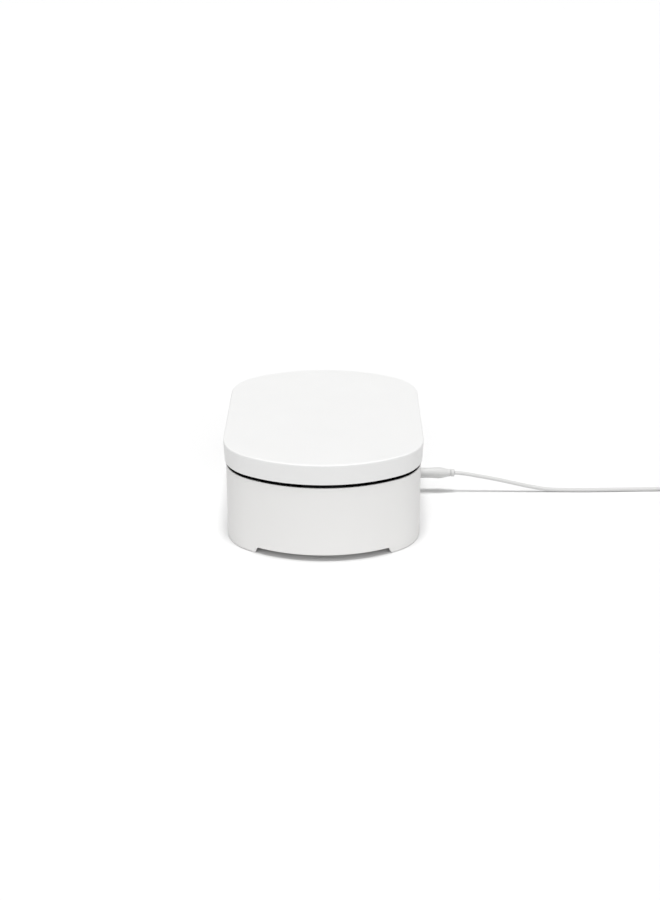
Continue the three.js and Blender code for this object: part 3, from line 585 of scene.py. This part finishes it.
def snap_tab(place, ceiling):
    """A springy tab with a hook at its foot, which reaches into the cover's ceiling."""
    half_width, thickness, hook_reach, hook_height = 0.006, 0.0018, 0.0013, 0.0014
    hook_lead, overlap = 0.0006, 0.0005
    top = HEIGHT - ceiling + overlap
    back, hook, hook_top = TAB_OUTER - thickness, TAB_OUTER + hook_reach, TAB_BOTTOM + hook_height
    side = [(back, TAB_BOTTOM), (TAB_OUTER, TAB_BOTTOM), (hook, TAB_BOTTOM + hook_lead)]
    side += [(hook, hook_top), (TAB_OUTER, hook_top), (TAB_OUTER, top), (back, top)]
    return set_on_outline(prism("snap_tab", side, -half_width, half_width, axis="y"), place)


def notch_edge(x, y):
    """The height of the housing's lower edge, which rises over the air inlets with rounded shoulders."""
    across = abs(x)
    if abs(y) < CORNER_Y or across >= NOTCH_HALF_WIDTH:
        return HOUSING_BOTTOM
    shoulder = NOTCH_HALF_WIDTH - NOTCH_SLOPE
    flat = NOTCH_HALF_WIDTH - NOTCH_END
    if across <= flat:
        return NOTCH_HEIGHT
    if across >= shoulder:
        share = (NOTCH_HALF_WIDTH - across) / NOTCH_SLOPE
        return HOUSING_BOTTOM + (NOTCH_HEIGHT / 2 - HOUSING_BOTTOM) * share
    share = (across - flat) / (shoulder - flat)
    return NOTCH_HEIGHT / 2 * (1 + math.sqrt(1 - share ** 2))


def make_housing():
    """An open tube with rounded edges, air inlets, the port window and a post for screws in each corner."""
    edge, first_level, inner_level, levels = 0.0004, 0.009, 0.03, 9
    rings = []
    for offset, level in arc((-edge, edge), edge, -90, 0, 4):
        rings.append(outline_ring(offset, lambda x, y, rise=level: notch_edge(x, y) + rise))
    for i in range(levels + 1):
        rings.append(outline_ring(0.0, first_level + (HOUSING_TOP - edge - first_level) * i / levels))
    upper = arc((-edge, HOUSING_TOP - edge), edge, 30, 90, 3)
    upper += [(-WALL + edge, HOUSING_TOP), (-WALL, HOUSING_TOP - edge)]
    upper += [(-WALL, inner_level), (-WALL, first_level)]
    rings += [outline_ring(offset, z) for offset, z in upper]
    rings.append(outline_ring(-WALL, lambda x, y: notch_edge(x, y) + edge))
    rings.append(outline_ring(-WALL + edge, notch_edge))
    housing = loft("main_housing_shell", rings, closed=True)
    merge_points(housing)

    window_corner, chamfer, chamfer_depth, past = 0.0012, 0.0005, 0.0006, 0.0002
    low = (-PANEL["half_length"], PANEL["bottom"])
    high = (PANEL["half_length"], PANEL["top"])
    window = prism(
        "window",
        rounded_rectangle(low, high, window_corner, inset=-GAP),
        HALF_WIDTH - 2 * WALL,
        HALF_WIDTH + past,
        flare=chamfer,
        flare_depth=chamfer_depth,
    )
    carve(housing, [window])
    carve(housing, [screw_boss(x * BOSS_X, y * BOSS_Y) for x, y in CORNERS.values()], "UNION")
    return finish_piece(housing, "housing", "housing_white", "router", "main_housing", sharp_from=30)


def screw_boss(x, y):
    """A post with a blind hole at each end."""
    bottom, top = 0.0076, 0.055
    radius, hole, depth, chamfer = 0.0045, 0.0017, 0.012, 0.0003
    length = top - bottom
    half = [(0, depth), (hole, depth), (hole, chamfer), (hole + chamfer, 0), (radius, 0)]
    profile = half + [(r, length - distance) for r, distance in reversed(half)]
    return turned("boss", profile, (x, y, bottom), (0, 0, 1), 32)


def make_vent_ring():
    """The black ring in the gap, its colour darkened past black plastic as painted shade of the gap: a thin
    wall, and a band with air slots in front of it.
    """
    bottom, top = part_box("vent_ring")[0].z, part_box("vent_ring")[1].z
    band_low, band_high = HOUSING_TOP + GAP, COVER_BOTTOM - GAP
    slot_edge, slot_row, ribs_every = 0.00035, 3, 6
    wall_rows = [(RING_OUTER, bottom), (RING_OUTER, band_low), (BAND_OUTER, band_low)]
    wall_rows += [(BAND_OUTER, band_low + slot_edge), (BAND_OUTER, band_high - slot_edge)]
    wall_rows += [(BAND_OUTER, band_high), (RING_OUTER, band_high), (RING_OUTER, top)]
    outer = [outline_ring(offset, z) for offset, z in wall_rows]
    inner = [outline_ring(RING_INNER, z) for _, z in wall_rows]
    points = [p for ring in outer + inner for p in ring]
    rows, count = len(wall_rows), len(OUTLINE)
    faces = []

    def is_open(column, row):
        column %= count
        return row == slot_row and column % ribs_every != 0 and not near_snap(OUTLINE[column][0])

    def add_face(*corners):
        """A face from (side, row, column) corners, where side 0 is the outer skin and 1 the inner one."""
        faces.append([(side * rows + row) * count + column % count for side, row, column in corners])

    for low in range(rows - 1):
        high = low + 1
        for here in range(count):
            after = here + 1
            if is_open(here, low):
                continue
            add_face((0, low, here), (0, low, after), (0, high, after), (0, high, here))
            add_face((1, low, after), (1, low, here), (1, high, here), (1, high, after))
            if low == 0 or is_open(here, low - 1):
                add_face((0, low, after), (0, low, here), (1, low, here), (1, low, after))
            if high == rows - 1 or is_open(here, high):
                add_face((0, high, here), (0, high, after), (1, high, after), (1, high, here))
            if is_open(here - 1, low):
                add_face((0, low, here), (0, high, here), (1, high, here), (1, low, here))
            if is_open(after, low):
                add_face((0, high, after), (0, low, after), (1, low, after), (1, high, after))
    ring = new_mesh("vent_ring_wall", points, faces)
    merge_points(ring)
    carve(ring, [snap_window(place) for place in SNAP_PLACES])
    return finish_piece(ring, "vent", "vent_black", "router", "vent_ring")


# --- The power lead ---

CORD_DIAMETER = 0.0033
CORD_RADIUS = CORD_DIAMETER / 2
PLUG_Y = 0.028
PLUG_Z = 0.0182
CORD_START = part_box("cord_collar")[1].x + GAP
COIL = {"x": 0.330, "y": 0.005, "radius": 0.019, "half_thickness": 0.005, "bottom": 0.0014}
CORD_BESIDE_COIL_Y = COIL["y"] + COIL["radius"] + COIL["half_thickness"] + GAP + CORD_RADIUS
CORD_ROUTE = [
    (CORD_START, PLUG_Y, PLUG_Z),
    (0.124, PLUG_Y, 0.0174),
    (0.138, PLUG_Y, 0.0148),
    (0.153, PLUG_Y, 0.0119),
    (0.168, PLUG_Y, 0.0084),
    (0.183, PLUG_Y, 0.005),
    (0.197, PLUG_Y, 0.0026),
    (0.212, PLUG_Y, 0.0018),
    (0.235, PLUG_Y, 0.0018),
    (0.265, PLUG_Y + 0.0012, 0.0018),
    (0.300, PLUG_Y + 0.0024, 0.0018),
    (COIL["x"] - 0.0005, CORD_BESIDE_COIL_Y, 0.0026),
]
ADAPTER = {"x": 0.350, "z": 0.0142, "relief_start": -0.031}
TAIL_X = COIL["x"] + COIL["radius"] + COIL["half_thickness"] + GAP + CORD_RADIUS
TAIL_ROUTE = [
    (TAIL_X, COIL["y"] - 0.0005, 0.0126),
    (TAIL_X - 0.0006, -0.007, 0.0116),
    (ADAPTER["x"] + 0.0028, -0.017, 0.012),
    (ADAPTER["x"] + 0.0004, -0.025, 0.0136),
    (ADAPTER["x"], ADAPTER["relief_start"] + GAP, ADAPTER["z"]),
]


def smooth_route(route, steps):
    """A Catmull-Rom curve through the route's points, with some steps between each two."""
    points = [Vector(p) for p in route]
    padded = [points[0] * 2 - points[1], *points, points[-1] * 2 - points[-2]]
    line = []
    for before, first, last, after in zip(padded, padded[1:], padded[2:], padded[3:]):
        for i in range(steps):
            t = i / steps
            line.append(
                (first * 2 + (last - before) * t + (before * 2 - first * 5 + last * 4 - after) * t ** 2
                 + (first * 3 - before - last * 3 + after) * t ** 3) / 2
            )
    line.append(points[-1])
    return line


# The coil's turns in the order they were wound, as (row from the table, column from the inside).
COIL_TURNS = [(0, 2), (0, 1), (0, 0), (1, 0), (1, 1), (1, 2), (2, 2), (2, 1), (3, 1), (3, 2)]
TURN_PITCH = 0.00335
POINTS_PER_TURN = 24


def coil_line():
    """Clockwise turns from beside the coil at its far side, lane by lane, and a last quarter to the right."""
    change = 0.3  # the share of a turn over which the cord moves to the next lane
    quarter = 0.25
    inner = COIL["radius"] - TURN_PITCH
    lowest = COIL["bottom"] + CORD_RADIUS

    def lane(turn):
        row, column = COIL_TURNS[min(turn, len(COIL_TURNS) - 1)]
        return inner + column * TURN_PITCH, lowest + row * TURN_PITCH

    entry = (CORD_ROUTE[-1][1] - COIL["y"], CORD_ROUTE[-1][2])
    leave = (TAIL_ROUTE[0][0] - COIL["x"], TAIL_ROUTE[0][2])
    line = []
    for i in range(1, int((len(COIL_TURNS) + quarter) * POINTS_PER_TURN)):
        turns = i / POINTS_PER_TURN
        turn = int(turns)
        share = turns - turn
        radius, height = lane(turn)
        if turn == 0 and share < quarter:
            radius, height = ease(entry, (radius, height), share / quarter)
        elif turn >= len(COIL_TURNS):
            radius, height = ease((radius, height), leave, share / quarter)
        elif share > 1 - change and turn < len(COIL_TURNS) - 1:
            radius, height = ease((radius, height), lane(turn + 1), (share - 1 + change) / change)
        angle = math.pi / 2 - 2 * math.pi * turns
        x = COIL["x"] + radius * math.cos(angle)
        y = COIL["y"] + radius * math.sin(angle)
        line.append(Vector((x, y, height)))
    return line


def ease(first, last, share):
    """From one tuple to another, starting and ending gently."""
    smooth = share * share * (3 - 2 * share)
    return tuple(a + (b - a) * smooth for a, b in zip(first, last))


def make_cord():
    """The whole lead on one curve: down to the table, along it, round the coil and on into the adapter."""
    depths = (0.006, 0.012, 0.0195)  # how far past the strain relief's mouth the last points lie
    inside_adapter = [Vector((ADAPTER["x"], ADAPTER["relief_start"] - d, ADAPTER["z"])) for d in depths]
    line = smooth_route(CORD_ROUTE, 3)[:-1] + coil_line() + smooth_route(TAIL_ROUTE, 3) + inside_adapter
    data = bpy.data.curves.new("power_lead_cord", "CURVE")
    data.dimensions = "3D"
    data.bevel_depth = CORD_RADIUS
    data.bevel_resolution = 6
    data.use_fill_caps = True
    data.resolution_u = 3
    spline = data.splines.new("NURBS")
    spline.points.add(len(line) - 1)
    for point, place in zip(spline.points, line):
        point.co = (*place, 1)
    spline.order_u = 4
    spline.use_endpoint_u = True
    cord = new_object("power_lead_cord", data)
    replaced = ("power_cord", "power_cord_coil", "power_cord_tail")
    return finish_piece(cord, "cord", "cord_white", "power_lead", *replaced)


def make_plug():
    """The moulded grip with its swelling and tapered neck, and the collar round the cord."""
    low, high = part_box("plug_grip")
    length = high.x - low.x
    front = [(0, 0), (0.0042, 0), (0.00445, 0.0001), (0.00458, 0.0004), (0.0046, 0.0009)]
    waist = [(0.00452, 0.006), (0.0045, 0.0115), (0.0046, 0.0155)]
    swelling = [(0.00482, 0.0188), (0.0049, 0.0205), (0.00486, 0.022), (0.0047, 0.0233), (0.0044, 0.0247)]
    neck = [(0.004, 0.0262), (0.00362, 0.0276), (0.0034, 0.029), (0.0032, length - 0.0004)]
    end = [(0.00305, length - 0.0001), (0.0028, length), (0, length)]
    profile = front + waist + swelling + neck + end
    grip = turned("plug_moulding", profile, (low.x, PLUG_Y, PLUG_Z), (1, 0, 0), 64)
    finish_piece(grip, "cord", "cord_white", "power_lead", "plug_grip")

    low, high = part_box("cord_collar")
    length = high.x - low.x
    profile = [(0, 0), (0.0031, 0), (0.0033, 0.0002)]
    profile += [(0.0033, length - 0.0007), (0.0031, length - 0.0003), (0.0026, length), (0, length)]
    collar = turned("cord_collar_ring", profile, (low.x, PLUG_Y, PLUG_Z), (1, 0, 0))
    finish_piece(collar, "cord", "cord_white", "power_lead", "cord_collar")
    return [grip, collar]


def make_cord_tie():
    """A strap with rounded corners round the coil's turns."""
    low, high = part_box("cord_tie")
    thickness, corner, corner_steps = 0.0009, 0.0026, 8

    def ring(x, inset):
        outline = rounded_rectangle(low.yz, high.yz, corner - inset, corner_steps, inset)
        return [Vector((x, y, z)) for y, z in outline]

    rings = [ring(low.x, 0), ring(high.x, 0), ring(high.x, thickness), ring(low.x, thickness)]
    tie = loft("cord_tie_strap", rings, closed=True)
    merge_points(tie)
    soften(tie, 0.0002)
    return finish_piece(tie, "strap", "tie_black", "power_lead", "cord_tie")


def make_adapter_case():
    """Two half shells that meet at a fine seam, above the middle."""
    low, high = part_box("adapter_case")
    corner, edge, seam, steps = 0.005, 0.003, 0.00035, 8
    corner_share = 0.6  # how much of an inset the corners' radius loses
    seam_floor = seam * 0.6
    middle = (low.z + high.z) / 2 + 0.004

    def ring(inset, z):
        outline = rounded_rectangle(low.xy, high.xy, corner - inset * corner_share, steps, inset)
        return [Vector((x, y, z)) for x, y in outline]

    rings = [ring(edge - r, z) for r, z in arc((0, low.z + edge), edge, -90, 0, steps)]
    rings += [ring(0, middle - seam), ring(seam, middle - seam_floor)]
    rings += [ring(seam, middle + seam_floor), ring(0, middle + seam)]
    rings += [ring(edge - r, z) for r, z in arc((0, high.z - edge), edge, 0, 90, steps)]
    case = loft("adapter_shell", rings, caps=(True, True))
    merge_points(case)
    return finish_piece(case, "adapter", "adapter_white", "power_lead", "adapter_case")


def make_strain_relief():
    """A tapered rubber sleeve with ribs round it, where the cord enters the adapter."""
    low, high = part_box("adapter_strain_relief")
    length = high.y - low.y
    ribs, first_rib, pitch = 5, 0.0042, 0.0022
    taper, groove_depth = 0.0002, 0.0006
    profile = [(0, 0), (0.0043, 0), (0.0044, 0.0002), (0.0037, 0.0035)]
    for i in range(ribs):
        start = first_rib + i * pitch
        crest = 0.0037 - taper * i
        groove = crest - groove_depth
        profile += [(crest, start), (crest, start + 0.0011)]
        profile += [(groove, start + 0.0013), (groove, start + 0.002)]
    profile += [(0.0026, length - 0.0026), (0.0024, length - 0.0003), (0.0022, length), (0, length)]
    relief = turned("adapter_relief_sleeve", profile, (ADAPTER["x"], low.y, ADAPTER["z"]), (0, 1, 0), 40)
    return finish_piece(relief, "cord", "cord_white", "power_lead", "adapter_strain_relief")


def make_lead():
    cord = make_cord()
    on_cord = make_plug() + [make_cord_tie(), make_adapter_case(), make_strain_relief()]
    metal = [nodes["adapter_blade_left"], nodes["adapter_blade_right"], nodes["plug_barrel"]]
    for piece in metal:
        refine(piece.name, "plug_metal", 0.0003)


def refine(node, material, width=0.0002, segments=2):
    """Gives a CAD node rounded edges and its material."""
    piece = nodes[node]
    weld = piece.modifiers.new("weld", "WELD")
    weld.merge_threshold = 1e-6
    flatten = piece.modifiers.new("flatten", "DECIMATE")
    flatten.decimate_type = "DISSOLVE"
    flatten.angle_limit = math.radians(1)
    round_edges(piece, width, segments, 30)
    normals = piece.modifiers.new("normals", "WEIGHTED_NORMAL")
    normals.keep_sharp = True
    piece.data.polygons.foreach_set("use_smooth", [True] * len(piece.data.polygons))
    piece.data.materials.clear()
    piece.data.materials.append(MATERIALS[material])


# --- The port side ---

JACK_NODES = ["wan_jack", "lan_jack_1", "lan_jack_2"]
POWER_JACK = {"y": PLUG_Y, "z": PLUG_Z, "hole": 0.0052}
PAIR_BUTTON = {"y": -0.0385, "z": 0.0152, "radius": 0.0033, "hole": 0.0036, "flange": 0.0044, "edge": 0.0004}
RESET_BUTTON = {"y": -0.045, "z": 0.0152, "radius": 0.0009, "hole": 0.0012, "flange": 0.0019, "edge": 0.0002}
LIGHT_PIPE = {"y": 0.040, "z": 0.017, "radius": 0.0014, "hole": 0.0017}


def make_port_panel():
    """The plate in the window, with chamfered openings for the jacks, the buttons and the light."""
    low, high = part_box("port_panel")
    corner, jack_corner, chamfer, behind, past = 0.001, 0.0003, 0.0004, 0.001, 0.0001
    plate = prism("port_panel_plate", rounded_rectangle(low.yz, high.yz, corner), low.x, high.x)
    soften(plate, 0.0002)
    start, end = low.x - behind, high.x + past
    tools = []
    for name in JACK_NODES:
        opening = rounded_rectangle(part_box(name)[0].yz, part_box(name)[1].yz, jack_corner, 3, -GAP)
        tools.append(prism("opening", opening, start, end, flare=chamfer, flare_depth=chamfer))
    for part in (POWER_JACK, PAIR_BUTTON, RESET_BUTTON, LIGHT_PIPE):
        profile = peg(part["hole"], end - start, -chamfer)
        tools.append(turned("opening", profile, (start, part["y"], part["z"]), (1, 0, 0), 40))
    carve(plate, tools)
    return finish_piece(plate, "housing", "housing_white", "router", "port_panel")


def make_network_jack(name):
    """A black body whose socket has a slot for the plug's latch, and its eight sprung gold contacts."""
    half_width, bottom, height, depth = 0.00595, 0.0022, 0.0068, 0.013
    latch_half, latch_height = 0.0032, 0.0026
    past, chamfer = 0.0001, 0.0005
    low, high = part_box(name)
    y = (low.y + high.y) / 2
    floor = low.z + bottom
    ceiling = floor + height
    latch_top = ceiling + latch_height
    start = high.x - depth
    body = block(name + "_body", low, high)
    soften(body, 0.0003)
    half = [(half_width, floor), (half_width, ceiling), (latch_half, ceiling), (latch_half, latch_top)]
    opening = [(y + across, z) for across, z in half] + [(y - across, z) for across, z in reversed(half)]
    carve(body, [prism("socket", opening, start, high.x + past, flare=chamfer, flare_depth=chamfer)])
    finish_piece(body, "jack", "jack_black", "router", name)
    contacts = make_contacts(name + "_contacts", start, y, floor)
    finish_piece(contacts, "gold", "jack_black", "router")


def make_contacts(name, start, y, floor):
    """Eight bent wires side by side, in one mesh."""
    count, pitch, wire_radius, wire_sides = 8, 0.00102, 0.00023, 8
    bends = [(0.0002, 0.0012), (0.0018, 0.0034), (0.0048, 0.0030), (0.0092, 0.0004)]  # (outwards, upwards)
    wires = []
    for i in range(count):
        across = y + (i - (count - 1) / 2) * pitch
        line = [(start + outwards, across, floor + upwards) for outwards, upwards in bends]
        wires.append(rod("contact", line, wire_radius, wire_sides))
    return join(name, wires)


def rod(name, line, radius, sides):
    """A round bar along a line that keeps to one upright plane, square to y."""
    points = [Vector(p) for p in line]
    side = Vector((0, 1, 0))
    rings = []
    for i, point in enumerate(points):
        along = (points[min(i + 1, len(points) - 1)] - points[max(i - 1, 0)]).normalized()
        rings.append(hoop(point, side, along.cross(side).normalized(), radius, sides))
    piece = loft(name, rings, caps=(True, True))
    merge_points(piece)
    return piece


def make_power_jack():
    """A block with a round nose, the bore for the barrel with its flared mouth, and the centre pin."""
    low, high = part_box("power_jack")
    nose_radius, nose_length, nose_edge, overlap = 0.0047, 0.0024, 0.0003, 0.0006
    bore, mouth, past, back_wall = 0.00305, 0.0005, 0.001, 0.0025
    pin_radius, pin_edge, pin_root, pin_short = 0.001, 0.0004, 0.0001, 0.001
    block_end = high.x - nose_length
    body = block("power_jack_body", low, (block_end, high.y, high.z))
    soften(body, 0.0003)
    nose_profile = peg(nose_radius, nose_length + overlap, nose_edge)
    carve(body, [turned("nose", nose_profile, (block_end - overlap, PLUG_Y, PLUG_Z), (1, 0, 0))], "UNION")
    depth = high.x - low.x - back_wall
    bore_profile = [(0, 0), (bore, 0), (bore, depth - mouth), (bore + mouth, depth)]
    bore_profile += [(bore + mouth, depth + past), (0, depth + past)]
    carve(body, [turned("bore", bore_profile, (low.x + back_wall, PLUG_Y, PLUG_Z), (1, 0, 0))])
    finish_piece(body, "jack", "jack_black", "router", "power_jack")

    pin_profile = peg(pin_radius, depth - pin_short, pin_edge)
    pin_start = low.x + back_wall - pin_root
    pin = turned("power_jack_pin", pin_profile, (pin_start, PLUG_Y, PLUG_Z), (1, 0, 0), 24)
    finish_piece(pin, "plug_metal", "jack_black", "router")


def button(node, name, part, dish, edge_steps, segments):
    """A flange that keeps the button in, a stem with a rounded rim, and a face that a dish hollows."""
    low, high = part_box(node)
    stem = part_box("port_panel")[0].x - GAP - low.x
    total = high.x - low.x
    flange, radius, edge = part["flange"], part["radius"], part["edge"]
    dish_size = 0.85  # of the radius
    profile = [(0, 0), (flange, 0), (flange, stem), (radius, stem)]
    profile += arc((radius - edge, total - edge), edge, 0, 90, edge_steps)
    if dish:
        sizes = (0.8, 0.6, 0.4, 0.2)
        profile += [(radius * size, total - dish * (1 - (size / dish_size) ** 2)) for size in sizes]
    profile.append((0, total - dish))
    return turned(name, profile, (low.x, part["y"], part["z"]), (1, 0, 0), segments)


def make_buttons():
    """The dished pairing button and the sunk reset pin."""
    pair = button("pair_button", "pair_button_cap", PAIR_BUTTON, dish=0.00035, edge_steps=5, segments=48)
    finish_piece(pair, "housing", "housing_white", "pair_button", "pair_button")
    reset = button("reset_button", "reset_button_pin", RESET_BUTTON, dish=0, edge_steps=4, segments=32)
    finish_piece(reset, "frame", "frame_grey", "reset_button", "reset_button")


def make_light_pipe():
    """A clear rod that bends down from the panel to the lamp on the board."""
    low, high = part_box("status_light_pipe")
    radius, bend = LIGHT_PIPE["radius"], 0.0024
    slimmer = 0.98  # keeps the bent rod inside the CAD's
    bend_x = low.x + radius
    line = [(high.x, LIGHT_PIPE["z"]), (bend_x + bend, LIGHT_PIPE["z"])]
    line += arc((bend_x + bend, LIGHT_PIPE["z"] - bend), bend, 90, 180, 8)
    line += [(bend_x, low.z)]
    pipe = rod("light_pipe", [(x, LIGHT_PIPE["y"], z) for x, z in line], radius * slimmer, 32)
    return finish_piece(pipe, "clear", "clear_plastic", "router", "status_light_pipe")


# --- Feet and screws ---

SCREWS = {  # kind: (head radius, head height, shank radius, whether the head is up)
    "base_screw_": (0.003, 0.0015, 0.0013, False),
    "frame_screw_": (0.003, 0.0017, 0.0013, True),
    "board_screw_": (0.0026, 0.0016, 0.00105, True),
}


def middle(node):
    low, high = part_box(node)
    return (low + high) / 2


def make_feet():
    """Rubber discs with a rounded lower edge and a shallow hollow in the middle."""
    edge, top_edge, hollow_radius, hollow_slope, hollow = 0.0006, 0.0002, 0.0055, 0.0004, 0.0004
    for corner in CORNERS:
        name = "rubber_foot_" + corner
        low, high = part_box(name)
        radius, height = (high.x - low.x) / 2, high.z - low.z
        profile = [(0, hollow), (hollow_radius - hollow_slope, hollow), (hollow_radius, 0)]
        profile += arc((radius - edge, edge), edge, -90, 0, 6)
        profile += [(radius, height - top_edge), (radius - top_edge, height), (0, height)]
        place = middle(name)
        foot = turned(name + "_pad", profile, (place.x, place.y, low.z), (0, 0, 1))
        finish_piece(foot, "rubber", "foot_rubber", "router", name)


def screw_shank(place, seat, direction, radius, length):
    """A coarse thread down to a blunt tip. Direction is 1 with the head above, and -1 with it below."""
    pitch, thread_depth, tip = 0.0011, 0.00028, 0.0012
    tip_size, tip_middle_size = 0.45, 0.6
    sides, steps_per_turn = 16, 12

    def ring(along, radii):
        return [
            Vector((
                place.x + r * math.cos(2 * math.pi * j / sides),
                place.y + r * math.sin(2 * math.pi * j / sides) * direction,
                seat + direction * along,
            ))
            for j, r in enumerate(radii)
        ]

    rings = [ring(-length, [radius * tip_size] * sides)]
    rings.append(ring(tip / 2 - length, [radius * tip_middle_size] * sides))
    steps = int((length - tip) / pitch * steps_per_turn)
    for i in range(steps + 1):
        along = -length + tip + (length - tip) * i / steps
        phases = [((along / pitch) % 1 + j / sides) % 1 for j in range(sides)]
        ridges = [max(0.0, 1 - abs(phase - 0.5) * 4) for phase in phases]
        rings.append(ring(along, [radius - thread_depth * (1 - ridge) for ridge in ridges]))
    shank = loft("shank", rings, caps=(True, True))
    merge_points(shank)
    return shank


def screw_head(place, seat, direction, radius, height):
    """A pan head with a cross recess."""
    crown, overlap, past, roundness = 0.35 * height, 0.0001, 0.001, 0.7
    profile = [(0, -overlap), (radius, -overlap), (radius, height - crown)]
    for angle in (20, 40, 60, 75):
        a = math.radians(angle)
        profile.append((radius * math.cos(a) ** roundness, height - crown + crown * math.sin(a)))
    profile.append((0, height))
    head = turned("head", profile, (place.x, place.y, seat), (0, 0, direction), 32)
    arm, half_slot, sink = radius * 0.55, radius * 0.13, height * 0.6
    floor, top = sorted((seat + direction * (height - sink), seat + direction * (height + past)))
    for x, y in ((arm, half_slot), (half_slot, arm)):
        carve(head, [block("cross", (place.x - x, place.y - y, floor), (place.x + x, place.y + y, top))])
    return head


def make_screw(name, head_radius, head_height, shank_radius, head_up):
    low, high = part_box(name)
    place = middle(name)
    direction = 1 if head_up else -1
    seat = high.z - head_height if head_up else low.z + head_height
    shank = screw_shank(place, seat, direction, shank_radius, high.z - low.z - head_height)
    head = screw_head(place, seat, direction, head_radius, head_height)
    screw = join(name + "_body", [shank, head])
    return finish_piece(screw, "screw", "screw_steel", "router", name, sharp_from=30)


def make_screws():
    for corner in CORNERS:
        for kind, sizes in SCREWS.items():
            make_screw(kind + corner, *sizes)


# --- The insides ---

INSIDES = {  # node: (material, width of the rounded edges)
    "base_plate": ("base", 0.0003),
    "inner_frame": ("frame", 0.0003),
    "main_board": ("board", 0.00015),
    "processor": ("chip", 0.0001),
    "memory_chip": ("chip", 0.0001),
    "thermal_pad": ("pad", 0.0001),
    "heat_sink": ("sink", 0.00015),
    "rf_shield_front": ("tin", 0.0002),
    "rf_shield_rear": ("tin", 0.0002),
    "ethernet_transformer": ("chip", 0.0003),
    "filter_capacitor": ("can", 0.0002),
    "pair_switch": ("chip", 0.0002),
    "reset_switch": ("chip", 0.0002),
    "status_led": ("clear", 0.0001),
}


def refine_insides():
    for node, (material, width) in INSIDES.items():
        refine(node, material, width)
    for side in ("front", "rear", "left", "right"):
        refine("antenna_" + side, "board", 0.0001)
        refine("coax_" + side, "rubber", 0.00005, 1)


# --- Build ---

bpy.context.scene.view_settings.view_transform = "Standard"
make_camera()
make_floor()
make_world(seen=1.0, lighting=0.325)
soft_light("overhead", azimuth=0, elevation=86, width=16, brightness=0.74)
soft_light("front", azimuth=5, elevation=34, width=70, brightness=0.33)
make_lead()
make_top_cover()
make_housing()
make_vent_ring()
make_port_panel()
for jack in JACK_NODES:
    make_network_jack(jack)
make_power_jack()
make_buttons()
make_light_pipe()
make_feet()
make_screws()
refine_insides()
